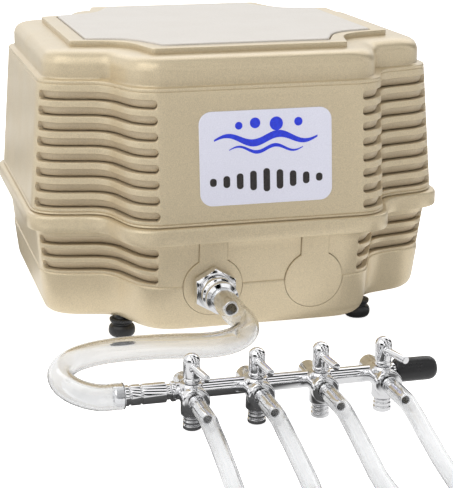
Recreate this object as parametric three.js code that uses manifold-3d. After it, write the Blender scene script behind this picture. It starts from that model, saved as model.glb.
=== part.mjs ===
// Electromagnetic diaphragm air pump with a four-way brass air manifold.
// Millimetres, +Z up, the surface it stands on is z = 0 and the air outlet faces -Y.
import * as THREE from 'three';
import { mergeVertices } from 'three/addons/utils/BufferGeometryUtils.js';
import Module from 'manifold-3d';

const wasm = await Module();
wasm.setup();

// ---------- driving dimensions ----------
const GAP = 0.3;
const WALL = 3.2;

const FOOT_HEIGHT = 7.8;
const FLOOR_Z = FOOT_HEIGHT + GAP; // underside of the lower housing
const BASE_EDGE = 4; // roundness of the edge round the underside
const BELT_LOW_Z = 46.5; // underside of the flange round the waist
const PARTING_Z = 53.5;
const FLANGE_REACH = 2; // how far the flange stands out beyond the wall above it
const RIM_Z = 107.4; // edge where the upper wall meets the shoulder
const PLATEAU_Z = 120.9;
const PANEL_TOP_Z = 121.5;
const PANEL_EDGE = 0.8;
const POCKET_DEPTH = 2.4;
const CEILING_Z = 114.8;

const LOUVER_DEPTH = 2.0;
const LOUVER_HEIGHT = 3.5;
const UPPER_LOUVERS = 8;
const UPPER_LOUVER_TOP_Z = 101.4;
const UPPER_LOUVER_PITCH = 6.2;
const LOWER_LOUVERS = 3;
const LOWER_LOUVER_TOP_Z = 41.7;
const LOWER_LOUVER_PITCH = 5.6;
const LOUVER_END_X = 39;
const LOUVER_END_GAP = 2; // from the front corner's bend to a louver's end

const FOOT_X = 51.5;
const FOOT_Y = 56.5;
const FOOT_R = 5.6;
const FOOT_STUD_R = 2.6;
const STUD_SHARE = 0.955; // each stud sits a little nearer the middle than its foot

const OUTLET_X = -19.4;
const BLANK_X = 22.8;
const KEYHOLE_Z = 26.8;
const KEYHOLE_R = 12.2;
const KEYHOLE_NECK = 11.6;
const NOZZLE_Z = 26.4;
const NOZZLE_TIP_Y = -114.3;
const NUT_FLATS = 16;
const NUT_THICK = 4.6;
const THREAD_R = 4.2;
const THREAD_BACK_Y = -74;
const NOZZLE_BORE_R = 1.9;
const OUTLET_HOLE_R = THREAD_R + 0.4;

const LABEL_X = 1.3;
const LABEL_Z = 79.5;
const LABEL_WIDTH = 53.8;
const LABEL_HEIGHT = 36.9;
const LABEL_CORNER_R = 5;

const GLAND_Z = 27;
const GLAND_X = 30;
const GLAND_END_Y = 98.4;
const GLAND_R = 6;
const LEAD_R = 3;

const INTAKE_X = 44;
const INTAKE_Y = 34;
const INTAKE_SLOT_PITCH = 5.4;
const FOAM_HEIGHT = 9;

// The frame's origin is midway between the nozzle's tip and the gland's end.
const REAR_SHIFT = (-NOZZLE_TIP_Y - GLAND_END_Y) / 2;

const PIPE_Y = -156;
const PIPE_Z = 12.2;
const PIPE_R = 3.1;
const PIPE_LEFT_X = -73.4;
const PIPE_RIGHT_X = 43;
const CAP_END_X = 47;
const VALVES = 4;
const VALVE_FIRST_X = -46.7;
const VALVE_PITCH = 23.6;
const STEM_Y = -162;
const STEM_TOP_Z = 28;
const STEM_R = 3;
const PIN_Z = 23.3;
const PIN_R = 1.35;
const PIN_REACH = 14;
const PIN_ANGLES = [8, 4, 5, 14]; // degrees to the right of straight ahead
const BARB_TIP_Y = -185.6;

const HOSE_D = 9.4;
const TUBE_D = 6;
const COIL_X = -13;
const COIL_Y = -341;
const COIL_INNER_R = 24; // centre line of the innermost turn
const COIL_TURNS = 4;

const FINE = 24;
const COARSE = 12;

// ---------- looks ----------
const finish = (color, roughness, metalness) =>
  new THREE.MeshStandardMaterial({ color, roughness, metalness });
const GOLD = () => finish(0xc4b58c, 0.42, 0.55);
const PANEL = () => finish(0xd8d2c4, 0.4, 0.5);
const LABEL = () => finish(0xd9d9e6, 0.35, 0.2);
const CHROME = () => finish(0xdadce0, 0.12, 1.0);
const RUBBER = () => finish(0x17171a, 0.6, 0.0);
const CLEAR = () => finish(0xe8edf0, 0.2, 0.0);
const STEEL = () => finish(0x8f9296, 0.4, 0.9);
const COPPER = () => finish(0xb0632f, 0.4, 0.8);
const NYLON = () => finish(0x2c2d30, 0.55, 0.0);
const FOAM = () => finish(0x3a3c40, 0.95, 0.0);

// ---------- solid helpers ----------
function toManifold(geometry) {
  const plain = geometry.index ? geometry.toNonIndexed() : geometry.clone();
  plain.deleteAttribute('normal');
  plain.deleteAttribute('uv');
  const merged = mergeVertices(plain, 1e-4);
  return new wasm.Manifold(new wasm.Mesh({
    numProp: 3,
    vertProperties: new Float32Array(merged.attributes.position.array),
    triVerts: new Uint32Array(merged.index.array),
  }));
}

function toGeometry(solid) {
  const mesh = solid.getMesh();
  const geometry = new THREE.BufferGeometry();
  geometry.setAttribute('position', new THREE.BufferAttribute(mesh.vertProperties, 3));
  geometry.setIndex(new THREE.BufferAttribute(mesh.triVerts, 1));
  geometry.computeVertexNormals();
  return geometry;
}

function joined(...geometries) {
  return toGeometry(geometries.map(toManifold).reduce((a, b) => a.add(b)));
}

function cut(geometry, ...tools) {
  return toGeometry(tools.map(toManifold).reduce((a, b) => a.subtract(b), toManifold(geometry)));
}

function box(sx, sy, sz, x, y, z) {
  return new THREE.BoxGeometry(sx, sy, sz).translate(x, y, z);
}

// A turned solid about +Z from a closed profile of [radius, z] points.
function turned(profile, segments = COARSE) {
  const points = profile.map(([r, z]) => new THREE.Vector2(Math.max(r, 0), z));
  return new THREE.LatheGeometry(points, segments).rotateX(Math.PI / 2);
}

function rod(radius, low, high, segments = COARSE) {
  return turned([[0, low], [radius, low], [radius, high], [0, high]], segments);
}

function ring(inner, outer, low, high, segments = COARSE) {
  return turned([[inner, low], [outer, low], [outer, high], [inner, high], [inner, low]], segments);
}

// Turns a solid made about +Z so that it runs along another axis.
const alongX = (geometry) => geometry.rotateY(Math.PI / 2);
const alongMinusY = (geometry) => geometry.rotateX(Math.PI / 2);

// A closed solid through a list of equal-length rings of [x, y, z] points, with flat end caps.
function loft(rings) {
  const count = rings[0].length;
  const positions = [];
  rings.forEach((points) => points.forEach((p) => positions.push(...p)));
  const index = [];
  for (let row = 0; row + 1 < rings.length; row += 1) {
    for (let i = 0; i < count; i += 1) {
      const a = row * count + i;
      const b = row * count + (i + 1) % count;
      index.push(a, b, b + count, a, b + count, a + count);
    }
  }
  [0, rings.length - 1].forEach((row) => {
    const centre = positions.length / 3;
    positions.push(0, 0, rings[row][0][2]);
    for (let i = 0; i < count; i += 1) {
      const a = row * count + i;
      const b = row * count + (i + 1) % count;
      index.push(...(row === 0 ? [b, a, centre] : [a, b, centre]));
    }
  });
  const geometry = new THREE.BufferGeometry();
  geometry.setAttribute('position', new THREE.Float32BufferAttribute(positions, 3));
  geometry.setIndex(index);
  return geometry;
}

// ---------- the casing's plan ----------
// One level of the casing: half-width, half-depth, where the side wall turns, the inner
// corner between the two lobes, where the front wall turns, and how far before each outer
// corner (edge) and inner corner (bay) the wall starts to bend.
const level = (x, y, sideY, valleyX, valleyY, frontX, edge = 9, bay = 7) =>
  ({ x, y, sideY, valleyX, valleyY, frontX, edge, bay });
const PANEL_PLAN = level(60.8, 64.0, 38.5, 42.5, 43.6, 34.0, 2, 12);
const PLATEAU_PLAN = level(67.6, 70.7, 40.5, 45.6, 46.2, 39.8, 1.5, 13);
const RIM_PLAN = level(82.3, 85.5, 54.6, 57.6, 61.6, 49.0);
const BELT_PLAN = level(86.5, 89.6, 55.8, 58.4, 62.2, 50.6);
const SKIRT_PLAN = level(85.2, 86.1, 54.0, 57.6, 59.2, 47.8);
const BASE_PLAN = level(81.2, 82.0, 49.4, 55.0, 56.4, 43.4);
// From the plateau's foot to the rim: share of the way out, and height.
const SHOULDER = [[0, 118.6], [0.5, 118.5], [0.78, 117.7], [0.93, 116.1], [1, 113.6], [1, 107.9]];
const SHOULDER_STEP = 2.4; // how far the shoulder's wall stands back from the rim
const SHOULDER_BAY = 3;

function mix(a, b, t) {
  const out = {};
  Object.keys(a).forEach((key) => {
    out[key] = a[key] + (b[key] - a[key]) * t;
  });
  return out;
}

// The same plan with every wall moved inward by a distance d.
function inset(plan, d) {
  const facing = (from, to) => {
    const length = Math.hypot(to[0] - from[0], to[1] - from[1]);
    return [(to[1] - from[1]) / length, (from[0] - to[0]) / length];
  };
  const side = [plan.x, plan.sideY];
  const valley = [plan.valleyX, plan.valleyY];
  const front = [plan.frontX, plan.y];
  const column = facing(side, valley);
  const lobe = facing(valley, front);
  const moved = (corner, n1, n2) => {
    const scale = d / (1 + n1[0] * n2[0] + n1[1] * n2[1]);
    return [corner[0] - scale * (n1[0] + n2[0]), corner[1] - scale * (n1[1] + n2[1])];
  };
  const newSide = moved(side, [1, 0], column);
  const newValley = moved(valley, column, lobe);
  const newFront = moved(front, lobe, [0, 1]);
  return level(newSide[0], newFront[1], newSide[1], newValley[0], newValley[1], newFront[0],
    plan.edge, plan.bay);
}

function roundedCorner(before, corner, after, reach, steps) {
  const toward = (end) => {
    const dx = end[0] - corner[0];
    const dy = end[1] - corner[1];
    const length = Math.hypot(dx, dy);
    const share = Math.min(reach / length, 0.45);
    return new THREE.Vector2(corner[0] + dx * share, corner[1] + dy * share);
  };
  const middle = new THREE.Vector2(...corner);
  const bend = new THREE.QuadraticBezierCurve(toward(before), middle, toward(after));
  return bend.getPoints(steps).map((p) => [p.x, p.y]);
}

// A quarter of the outline, from the side wall to the front wall, with each point's louver share.
function quarter(plan) {
  const side = [plan.x, plan.sideY];
  const valley = [plan.valleyX, plan.valleyY];
  const front = [plan.frontX, plan.y];
  const points = [
    ...roundedCorner([plan.x, 0], side, valley, plan.edge, 3),
    ...roundedCorner(side, valley, front, plan.bay, 2),
    ...roundedCorner(valley, front, [0, plan.y], plan.edge, 3),
  ];
  points.push([Math.min(LOUVER_END_X, plan.frontX - plan.edge - LOUVER_END_GAP), plan.y]);
  const share = points.map((_, i) => (i < 2 || i === points.length - 1 ? 0 : 1));
  return points.map(([x, y], i) => ({ x, y, share: share[i] }));
}

// The whole outline at height z, with the louvered corners pressed in by depth.
function outline(plan, z, depth = 0) {
  const q = quarter(plan);
  const back = [...q].reverse();
  const loop = [
    ...q.map((p) => ({ ...p })),
    ...back.map((p) => ({ ...p, x: -p.x })),
    ...q.map((p) => ({ ...p, x: -p.x, y: -p.y })),
    ...back.map((p) => ({ ...p, y: -p.y })),
  ];
  return loop.map((p, i) => {
    const a = loop[(i + loop.length - 1) % loop.length];
    const b = loop[(i + 1) % loop.length];
    const nx = b.y - a.y;
    const ny = a.x - b.x;
    const push = (depth * p.share) / Math.hypot(nx, ny);
    return [p.x - nx * push, p.y - ny * push, z];
  });
}

// The three rings of one louver: its face slants inward on the way down to a sharp lower lip.
function louver(planAt, top) {
  const low = top - LOUVER_HEIGHT;
  return [
    outline(planAt(top), top),
    outline(planAt(low), low + 0.25, LOUVER_DEPTH),
    outline(planAt(low), low),
  ];
}

function louverRows(planAt, topCentre, pitch, count) {
  const rows = [];
  for (let i = 0; i < count; i += 1) {
    rows.push(...louver(planAt, topCentre - i * pitch + LOUVER_HEIGHT / 2));
  }
  return rows;
}

const upperPlan = (z) => mix(BELT_PLAN, RIM_PLAN, (z - PARTING_Z) / (RIM_Z - PARTING_Z));
const lowerPlan = (z) => mix(BASE_PLAN, SKIRT_PLAN, (z - FLOOR_Z) / (BELT_LOW_Z - FLOOR_Z));

// ---------- casing ----------
function upperHousing() {
  const pocket = inset(PANEL_PLAN, -GAP - 0.2);
  const pocketFloor = PLATEAU_Z - POCKET_DEPTH;
  const shoulderPlan = { ...inset(RIM_PLAN, SHOULDER_STEP), bay: SHOULDER_BAY };
  const rings = [outline(pocket, pocketFloor), outline(pocket, PLATEAU_Z)];
  rings.push(outline(PLATEAU_PLAN, PLATEAU_Z));
  SHOULDER.forEach(([share, z]) => {
    rings.push(outline(mix(PLATEAU_PLAN, shoulderPlan, share), z));
  });
  rings.push(outline(RIM_PLAN, RIM_Z));
  rings.push(...louverRows(upperPlan, UPPER_LOUVER_TOP_Z, UPPER_LOUVER_PITCH, UPPER_LOUVERS));
  rings.push(outline(BELT_PLAN, PARTING_Z + GAP / 2));
  rings.push(outline(inset(BELT_PLAN, WALL), PARTING_Z + GAP / 2));
  rings.push(outline(inset(RIM_PLAN, WALL), RIM_Z - 3));
  rings.push(outline(inset(PLATEAU_PLAN, 1), CEILING_Z));
  return loft(rings.reverse());
}

const FOOT_PLACES = [
  ['front_left', -FOOT_X, -FOOT_Y],
  ['front_right', FOOT_X, -FOOT_Y],
  ['rear_left', -FOOT_X, FOOT_Y],
  ['rear_right', FOOT_X, FOOT_Y],
];

// Round opening with a neck that runs up to the flange, as an outline in its own plane.
function keyholeShape(radius, neck, top) {
  const half = neck / 2;
  const start = Math.asin(half / radius);
  const shape = new THREE.Shape();
  shape.moveTo(half, top);
  shape.lineTo(half, radius * Math.cos(start));
  shape.absarc(0, 0, radius, Math.PI / 2 - start, Math.PI / 2 + start, true);
  shape.lineTo(-half, top);
  shape.closePath();
  return shape;
}

// The lower front wall leans, so what is set in it shares this tilt and this face.
const WALL_LEAN = Math.atan2(SKIRT_PLAN.y - BASE_PLAN.y, BELT_LOW_Z - FLOOR_Z);
const wallY = (z) => -lowerPlan(z).y;
const KEYHOLE_TOP = BELT_LOW_Z - KEYHOLE_Z - 0.6;

function keyholeSolid(grow, inside, outside, x) {
  const shape = keyholeShape(KEYHOLE_R + grow, KEYHOLE_NECK + 2 * grow, KEYHOLE_TOP + grow);
  return new THREE.ExtrudeGeometry(shape, {
    depth: inside + outside,
    bevelEnabled: false,
    curveSegments: 14,
  })
    .translate(0, 0, -inside)
    .rotateX(Math.PI / 2 + WALL_LEAN)
    .translate(x, wallY(KEYHOLE_Z), KEYHOLE_Z);
}

function lowerHousing() {
  const flange = inset(BELT_PLAN, -FLANGE_REACH);
  const edgeLow = FLOOR_Z + BASE_EDGE * 0.3;
  const edgeHigh = FLOOR_Z + BASE_EDGE;
  const rings = [outline(inset(BASE_PLAN, BASE_EDGE), FLOOR_Z)];
  rings.push(outline(inset(lowerPlan(edgeLow), BASE_EDGE * 0.3), edgeLow));
  rings.push(outline(lowerPlan(edgeHigh), edgeHigh));
  const louvers = louverRows(lowerPlan, LOWER_LOUVER_TOP_Z, LOWER_LOUVER_PITCH, LOWER_LOUVERS);
  rings.push(...louvers.reverse());
  rings.push(outline(SKIRT_PLAN, BELT_LOW_Z));
  rings.push(outline(flange, BELT_LOW_Z + 0.4));
  rings.push(outline(flange, PARTING_Z - GAP / 2));
  rings.push(outline(inset(BELT_PLAN, WALL + 3), PARTING_Z - GAP / 2));
  rings.push(outline(inset(SKIRT_PLAN, WALL), BELT_LOW_Z - 2));
  rings.push(outline(inset(BASE_PLAN, WALL + 1), FLOOR_Z + WALL));
  const shell = loft(rings);
  const pads = FOOT_PLACES.map(([, x, y]) =>
    rod(FOOT_R + 0.4, FLOOR_Z, FLOOR_Z + 4).translate(x, y, 0));
  const studHoles = FOOT_PLACES.map(([, x, y]) =>
    rod(FOOT_STUD_R + GAP, FLOOR_Z - 1, FLOOR_Z + 9).translate(x * STUD_SHARE, y * STUD_SHARE, 0));
  return cut(
    joined(shell, ...pads),
    ...studHoles,
    keyholeSolid(GAP, 7, 3, OUTLET_X),
    keyholeSolid(GAP, 7, 3, BLANK_X),
    alongMinusY(rod(GLAND_R + GAP, -8, 8)).translate(GLAND_X, -wallY(GLAND_Z), GLAND_Z),
    box(INTAKE_X + 2 * GAP, INTAKE_Y + 2 * GAP, 12, 0, 0, FLOOR_Z),
  );
}

function topPanel() {
  const low = PLATEAU_Z - POCKET_DEPTH + GAP;
  return loft([
    outline(PANEL_PLAN, low),
    outline(PANEL_PLAN, PANEL_TOP_Z - PANEL_EDGE),
    outline(inset(PANEL_PLAN, PANEL_EDGE), PANEL_TOP_Z),
  ]);
}

function labelPlate() {
  const w = LABEL_WIDTH / 2;
  const h = LABEL_HEIGHT / 2;
  const r = LABEL_CORNER_R;
  const shape = new THREE.Shape();
  shape.moveTo(-w + r, -h);
  shape.lineTo(w - r, -h);
  shape.absarc(w - r, -h + r, r, -Math.PI / 2, 0, false);
  shape.lineTo(w, h - r);
  shape.absarc(w - r, h - r, r, 0, Math.PI / 2, false);
  shape.lineTo(-w + r, h);
  shape.absarc(-w + r, h - r, r, Math.PI / 2, Math.PI, false);
  shape.lineTo(-w, -h + r);
  shape.absarc(-w + r, -h + r, r, Math.PI, Math.PI * 1.5, false);
  const lean = Math.atan2(BELT_PLAN.y - RIM_PLAN.y, RIM_Z - PARTING_Z);
  const settings = { depth: 0.7, bevelEnabled: false, curveSegments: 6 };
  return new THREE.ExtrudeGeometry(shape, settings)
    .rotateX(Math.PI / 2 - lean)
    .translate(LABEL_X, -upperPlan(LABEL_Z).y - GAP, LABEL_Z);
}

// Push-in rubber foot: flat sole, round body, groove, collar and a stud into the floor.
function foot(x, y) {
  const body = turned([
    [0, 0], [3.8, 0], [5.2, 0.9], [FOOT_R, 2.4], [5.1, 3.9], [4.1, 4.8], [FOOT_R, 5.5],
    [FOOT_R, 7.0], [5.0, FOOT_HEIGHT], [0, FOOT_HEIGHT],
  ]).translate(x, y, 0);
  const stud = rod(FOOT_STUD_R, FOOT_HEIGHT - 1, FLOOR_Z + WALL - 0.6);
  return joined(body, stud.translate(x * STUD_SHARE, y * STUD_SHARE, 0));
}

// ---------- air outlet ----------
function outletInsert() {
  const hole = alongMinusY(rod(OUTLET_HOLE_R, -12, 12));
  hole.translate(OUTLET_X, wallY(KEYHOLE_Z), NOZZLE_Z);
  return cut(keyholeSolid(0, 5, 0.2, OUTLET_X), hole);
}

const nutFaceY = wallY(KEYHOLE_Z) - 1.6;

function outletNut() {
  const hexRadius = NUT_FLATS / Math.sqrt(3);
  const hex = new THREE.CylinderGeometry(hexRadius, hexRadius, NUT_THICK, 6);
  hex.translate(0, -NUT_THICK / 2, 0);
  const bore = alongMinusY(rod(OUTLET_HOLE_R, -2, NUT_THICK + 2));
  return cut(hex, bore).translate(OUTLET_X, nutFaceY, NOZZLE_Z);
}

// Threaded tail, shoulder collars, a tapered barb and an air bore all the way through.
function outletNozzle() {
  const tip = -NOZZLE_TIP_Y;
  const nutFront = -nutFaceY + NUT_THICK + GAP;
  const back = -THREAD_BACK_Y;
  const profile = [
    [NOZZLE_BORE_R, back], [THREAD_R, back], [THREAD_R, nutFront], [7.0, nutFront],
    [7.0, nutFront + 4.6],
    [6.0, nutFront + 5.4], [6.0, nutFront + 6.6], [6.5, nutFront + 7.2], [6.5, nutFront + 9.2],
    [3.3, nutFront + 9.8], [3.3, tip - 9], [3.9, tip - 8.6], [3.3, tip - 6.2],
    [3.9, tip - 5.8], [2.9, tip], [NOZZLE_BORE_R, tip], [NOZZLE_BORE_R, back],
  ];
  return alongMinusY(turned(profile, 16)).translate(OUTLET_X, 0, NOZZLE_Z);
}

// ---------- power lead entry ----------
function cableGland() {
  const face = -wallY(GLAND_Z) + 1.2;
  const profile = [
    [LEAD_R, face - 6], [GLAND_R, face - 6], [GLAND_R, face + 0.2], [8.2, face + 0.2],
    [8.2, face + 3.2], [5.6, face + 4.4], [4.4, GLAND_END_Y], [LEAD_R, GLAND_END_Y],
    [LEAD_R, face - 6],
  ];
  return turned(profile).rotateX(-Math.PI / 2).translate(GLAND_X, 0, GLAND_Z);
}

// ---------- air intake ----------
function intakeCover() {
  const plate = box(INTAKE_X, INTAKE_Y, 2.4, 0, 0, FLOOR_Z + 0.6);
  const slots = [];
  for (let i = -3; i <= 3; i += 1) {
    slots.push(box(2.2, INTAKE_Y - 10, 6, i * INTAKE_SLOT_PITCH, 0, FLOOR_Z));
  }
  return cut(plate, ...slots);
}

function foamFilter() {
  const low = FLOOR_Z + 1.8 + GAP;
  return box(INTAKE_X - 2, INTAKE_Y - 2, FOAM_HEIGHT, 0, 0, low + FOAM_HEIGHT / 2);
}

// ---------- motor ----------
const SHAFT_Z = 66;
const FRAME_TOP_Z = 36;
const MOUNT_NECK_R = 3;
const CORE_Y = 30;
const CORE_HEIGHT = 34;
const COIL_WIDTH = 29;
const COIL_DEPTH = 12;
const COIL_HEIGHT = 44;
const CORE_LEGS = [[-21, 10], [0, 12], [21, 10]]; // middle and width of each leg
const ROD_R = 3;
const ROD_HALF = 57;
const DISC_R = 12;
const HEAD_R = 27;
const HEAD_X = 66; // middle of a pump head's thick end, where its air port is

function motorFrame() {
  const plate = box(104, 74, 3, 0, 0, FRAME_TOP_Z - 1.5);
  const rails = [-1, 1].map((s) => box(104, 3, 12, 0, s * 35.5, FRAME_TOP_Z - 6));
  const holes = MOUNT_PLACES.map(([, x, y]) =>
    rod(MOUNT_NECK_R + GAP, FRAME_TOP_Z - 8, FRAME_TOP_Z + 4).translate(x, y, 0));
  return cut(joined(plate, ...rails), ...holes);
}

const MOUNT_PLACES = [
  ['front_left', -44, -27],
  ['front_right', 44, -27],
  ['rear_left', -44, 27],
  ['rear_right', 44, 27],
];

// Rubber spool that stands on the floor and carries one corner of the motor frame.
function vibrationMount(x, y) {
  const low = FLOOR_Z + WALL + GAP;
  const neck = FRAME_TOP_Z - 3 - GAP;
  return turned([
    [0, low], [7, low], [5, low + 8], [7, neck], [MOUNT_NECK_R, neck],
    [MOUNT_NECK_R, FRAME_TOP_Z + GAP], [5, FRAME_TOP_Z + GAP], [4, FRAME_TOP_Z + 3],
    [0, FRAME_TOP_Z + 3],
  ]).translate(x, y, 0);
}

// E-shaped laminated core whose three legs face the armature.
function magnetCore(side) {
  const yoke = box(52, 9, CORE_HEIGHT, 0, side * CORE_Y, SHAFT_Z);
  const legs = CORE_LEGS.map(([x, width]) =>
    box(width, 16, CORE_HEIGHT, x, side * (CORE_Y - 12), SHAFT_Z));
  const footLow = FRAME_TOP_Z + GAP;
  const footHigh = SHAFT_Z - CORE_HEIGHT / 2 + 1;
  const feet = [-21, 21].map((x) =>
    box(10, 9, footHigh - footLow, x, side * CORE_Y, (footHigh + footLow) / 2));
  return joined(yoke, ...legs, ...feet);
}

function magnetCoil(side) {
  const y = side * (CORE_Y - 11);
  const window = box(CORE_LEGS[1][1] + 2 * GAP, COIL_DEPTH + 2, CORE_HEIGHT + 2 * GAP, 0, y, SHAFT_Z);
  return cut(box(COIL_WIDTH, COIL_DEPTH, COIL_HEIGHT, 0, y, SHAFT_Z), window);
}

// Sliding rod with its magnet carrier and the two clamp discs that drive the diaphragms.
function armature() {
  const shaft = alongX(rod(ROD_R, -ROD_HALF, ROD_HALF)).translate(0, 0, SHAFT_Z);
  const carrier = box(44, 13, 30, 0, 0, SHAFT_Z);
  const discs = [-1, 1].map((s) =>
    alongX(rod(DISC_R, -1, 1, FINE)).translate(s * (ROD_HALF - 1), 0, SHAFT_Z));
  return joined(shaft, carrier, ...discs);
}

// Rubber ring with one rolled fold; its rim is clamped by the pump head.
function diaphragm(side) {
  const profile = [
    [5.0, 50.4], [12, 50.4], [16, 53.2], [20, 50.4], [HEAD_R, 50.4], [HEAD_R, 51.9], [20.6, 51.9],
    [16, 54.8], [11.4, 51.9], [5.0, 51.9], [5.0, 50.4],
  ];
  const right = alongX(turned(profile, FINE)).translate(0, 0, SHAFT_Z);
  return side > 0 ? right : mirrorX(right);
}


// Valve chamber outboard of each diaphragm, with an air port that faces the front.
function pumpHead(side) {
  const profile = [
    [22, 52.2], [HEAD_R, 52.2], [HEAD_R, 70], [0, 70], [0, 62.5], [20, 62.5], [22, 59], [22, 52.2],
  ];
  const chamber = alongX(turned(profile, FINE)).translate(0, 0, SHAFT_Z);
  const port = alongMinusY(rod(AIRWAY_R, 18, HEAD_R + 3)).translate(HEAD_X, 0, SHAFT_Z);
  const drum = cut(chamber, port);
  return side > 0 ? drum : mirrorX(drum);
}

// Ring that holds a diaphragm's rim and stands on the end of the motor frame.
function clampRing(side) {
  const collar = alongX(ring(22, HEAD_R, 46.5, 50.1, FINE)).translate(0, 0, SHAFT_Z);
  const legLow = FRAME_TOP_Z + GAP;
  const legHigh = SHAFT_Z - HEAD_R + 3;
  const leg = box(3.6, 30, legHigh - legLow, 48.3, 0, (legHigh + legLow) / 2);
  const stand = joined(collar, leg);
  return side > 0 ? stand : mirrorX(stand);
}

function mirrorX(geometry) {
  const index = Array.from(geometry.index.array);
  for (let i = 0; i < index.length; i += 3) {
    [index[i], index[i + 1]] = [index[i + 1], index[i]];
  }
  const mirrored = geometry.clone();
  mirrored.scale(-1, 1, 1);
  mirrored.setIndex(index);
  return mirrored;
}

// A round bar along a smooth route, closed at both ends.
function bar(points, diameter, sides, spacing) {
  const through = points.map((p) => new THREE.Vector3(...p));
  const curve = new THREE.CatmullRomCurve3(through, false, 'centripetal');
  const section = new THREE.Shape();
  for (let i = 0; i < sides; i += 1) {
    const angle = (i / sides) * 2 * Math.PI;
    const x = (diameter / 2) * Math.cos(angle);
    const y = (diameter / 2) * Math.sin(angle);
    if (i === 0) section.moveTo(x, y);
    else section.lineTo(x, y);
  }
  section.closePath();
  return new THREE.ExtrudeGeometry(section, {
    steps: Math.max(4, Math.round(curve.getLength() / spacing)),
    extrudePath: curve,
    bevelEnabled: false,
  });
}

// Block that joins the two heads' air lines behind the outlet nozzle.
const JOINT_TOP_Z = 41;
const JOINT_LOW_Z = 19;
const JOINT_Y = -67;
const AIRWAY_R = 2;
const JOINT_PORTS = [-7.6, 7.6];

function airJoint() {
  const height = JOINT_TOP_Z - JOINT_LOW_Z;
  const block = box(26, 13, height, OUTLET_X, JOINT_Y, JOINT_LOW_Z + height / 2);
  const bore = alongMinusY(rod(AIRWAY_R, 55, 80)).translate(OUTLET_X, 0, NOZZLE_Z);
  const ports = JOINT_PORTS.map((x) =>
    rod(AIRWAY_R, NOZZLE_Z, JOINT_TOP_Z + 2).translate(OUTLET_X + x, JOINT_Y, 0));
  const gallery = alongX(rod(AIRWAY_R, JOINT_PORTS[0] - 1, JOINT_PORTS[1] + 1));
  gallery.translate(OUTLET_X, JOINT_Y, NOZZLE_Z);
  return cut(block, bore, ...ports, gallery);
}

// Rubber air line from each head's port down to the joining block.
const HEAD_HOSES = {
  left: [
    [-66, -27.6, 66], [-65.6, -34, 65.6], [-61, -43, 63.5], [-53, -50, 60.5], [-44, -57, 57.5],
    [-34.5, -64, 54], [-28.4, -66.6, 49.5], [-27, -67, 45.5], [-27, -67, 41.6],
  ],
  right: [
    [66, -27.6, 66], [65.6, -34, 65.6], [60, -43, 64], [50, -50, 62], [35, -56, 60],
    [18, -61, 58], [2, -65.5, 56], [-8, -66.8, 52], [-11.6, -67, 46.5], [-11.8, -67, 41.7],
  ],
};

// ---------- manifold ----------
const valveX = (i) => VALVE_FIRST_X + i * VALVE_PITCH;

// One long tube: ribbed inlet, a neck, then the plain pipe that the valves sit on.
function manifoldPipe() {
  const left = PIPE_LEFT_X;
  const profile = [
    [2.0, left], [3.4, left], [3.7, left + 0.8], [3.7, left + 18.4], [2.8, left + 19],
    [2.8, left + 20.2], [3.6, left + 20.6], [3.6, left + 22], [PIPE_R, left + 22.4],
    [PIPE_R, PIPE_RIGHT_X], [2.0, PIPE_RIGHT_X], [2.0, left],
  ];
  return alongX(turned(profile, 16)).translate(0, PIPE_Y, PIPE_Z);
}

function manifoldCap() {
  const low = PIPE_RIGHT_X - 12;
  const inner = PIPE_R + 0.2;
  const profile = [
    [inner, low], [4.1, low], [4.4, low + 0.8], [4.4, CAP_END_X - 2.6], [3.4, CAP_END_X - 0.7],
    [0, CAP_END_X], [0, PIPE_RIGHT_X + GAP], [inner, PIPE_RIGHT_X + GAP], [inner, low],
  ];
  return alongX(turned(profile, 16)).translate(0, PIPE_Y, PIPE_Z);
}

// Cross body: a boss behind the pipe, a round front face with a hose barb, an upright plug bore.
function valveBody(x) {
  const profile = [
    [0, 145.8], [3.2, 145.8], [3.6, 146.3], [3.6, 153], [4.3, 156], [4.5, 164], [5.0, 166.6],
    [5.0, 169], [2.1, 169.2], [2.1, 176.5], [2.4, 176.8], [2.1, 179], [2.4, 179.3],
    [2.0, -BARB_TIP_Y], [1.4, -BARB_TIP_Y], [1.4, 158], [0, 158],
  ];
  const along = alongMinusY(turned(profile)).translate(x, 0, PIPE_Z);
  const upright = rod(4.0, PIPE_Z - 7, PIPE_Z + 4.9).translate(x, STEM_Y, 0);
  const pipeHole = alongX(rod(PIPE_R + 0.2, -9, 9)).translate(x, PIPE_Y, PIPE_Z);
  const plugHole = rod(2.3, -1, 30).translate(x, STEM_Y, 0);
  return cut(joined(along, upright), pipeHole, plugHole);
}

// Upright plug with a domed head and its lever pin, which turns as one piece.
function valveStem(x, pinAngle) {
  const low = PIPE_Z + 4.9 + GAP;
  const stem = turned([
    [0, 6.2], [2.0, 6.2], [2.0, low], [STEM_R, low], [STEM_R, STEM_TOP_Z - 2.2],
    [2.5, STEM_TOP_Z - 0.9], [1.4, STEM_TOP_Z - 0.1], [0, STEM_TOP_Z],
  ]);
  const pin = alongMinusY(rod(PIN_R, 0, PIN_REACH, 10)).translate(0, 0, PIN_Z);
  pin.rotateZ((pinAngle * Math.PI) / 180);
  return joined(stem, pin).translate(x, STEM_Y, 0);
}

function valveNut(x) {
  const high = PIPE_Z - 7 - GAP;
  return turned([
    [0, 0], [2.6, 0], [3.3, 0.5], [3.3, 2.0], [2.9, 2.4], [3.2, 2.9], [3.2, high - 0.6],
    [2.4, high], [0, high],
  ]).translate(x, STEM_Y, 0);
}

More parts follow.
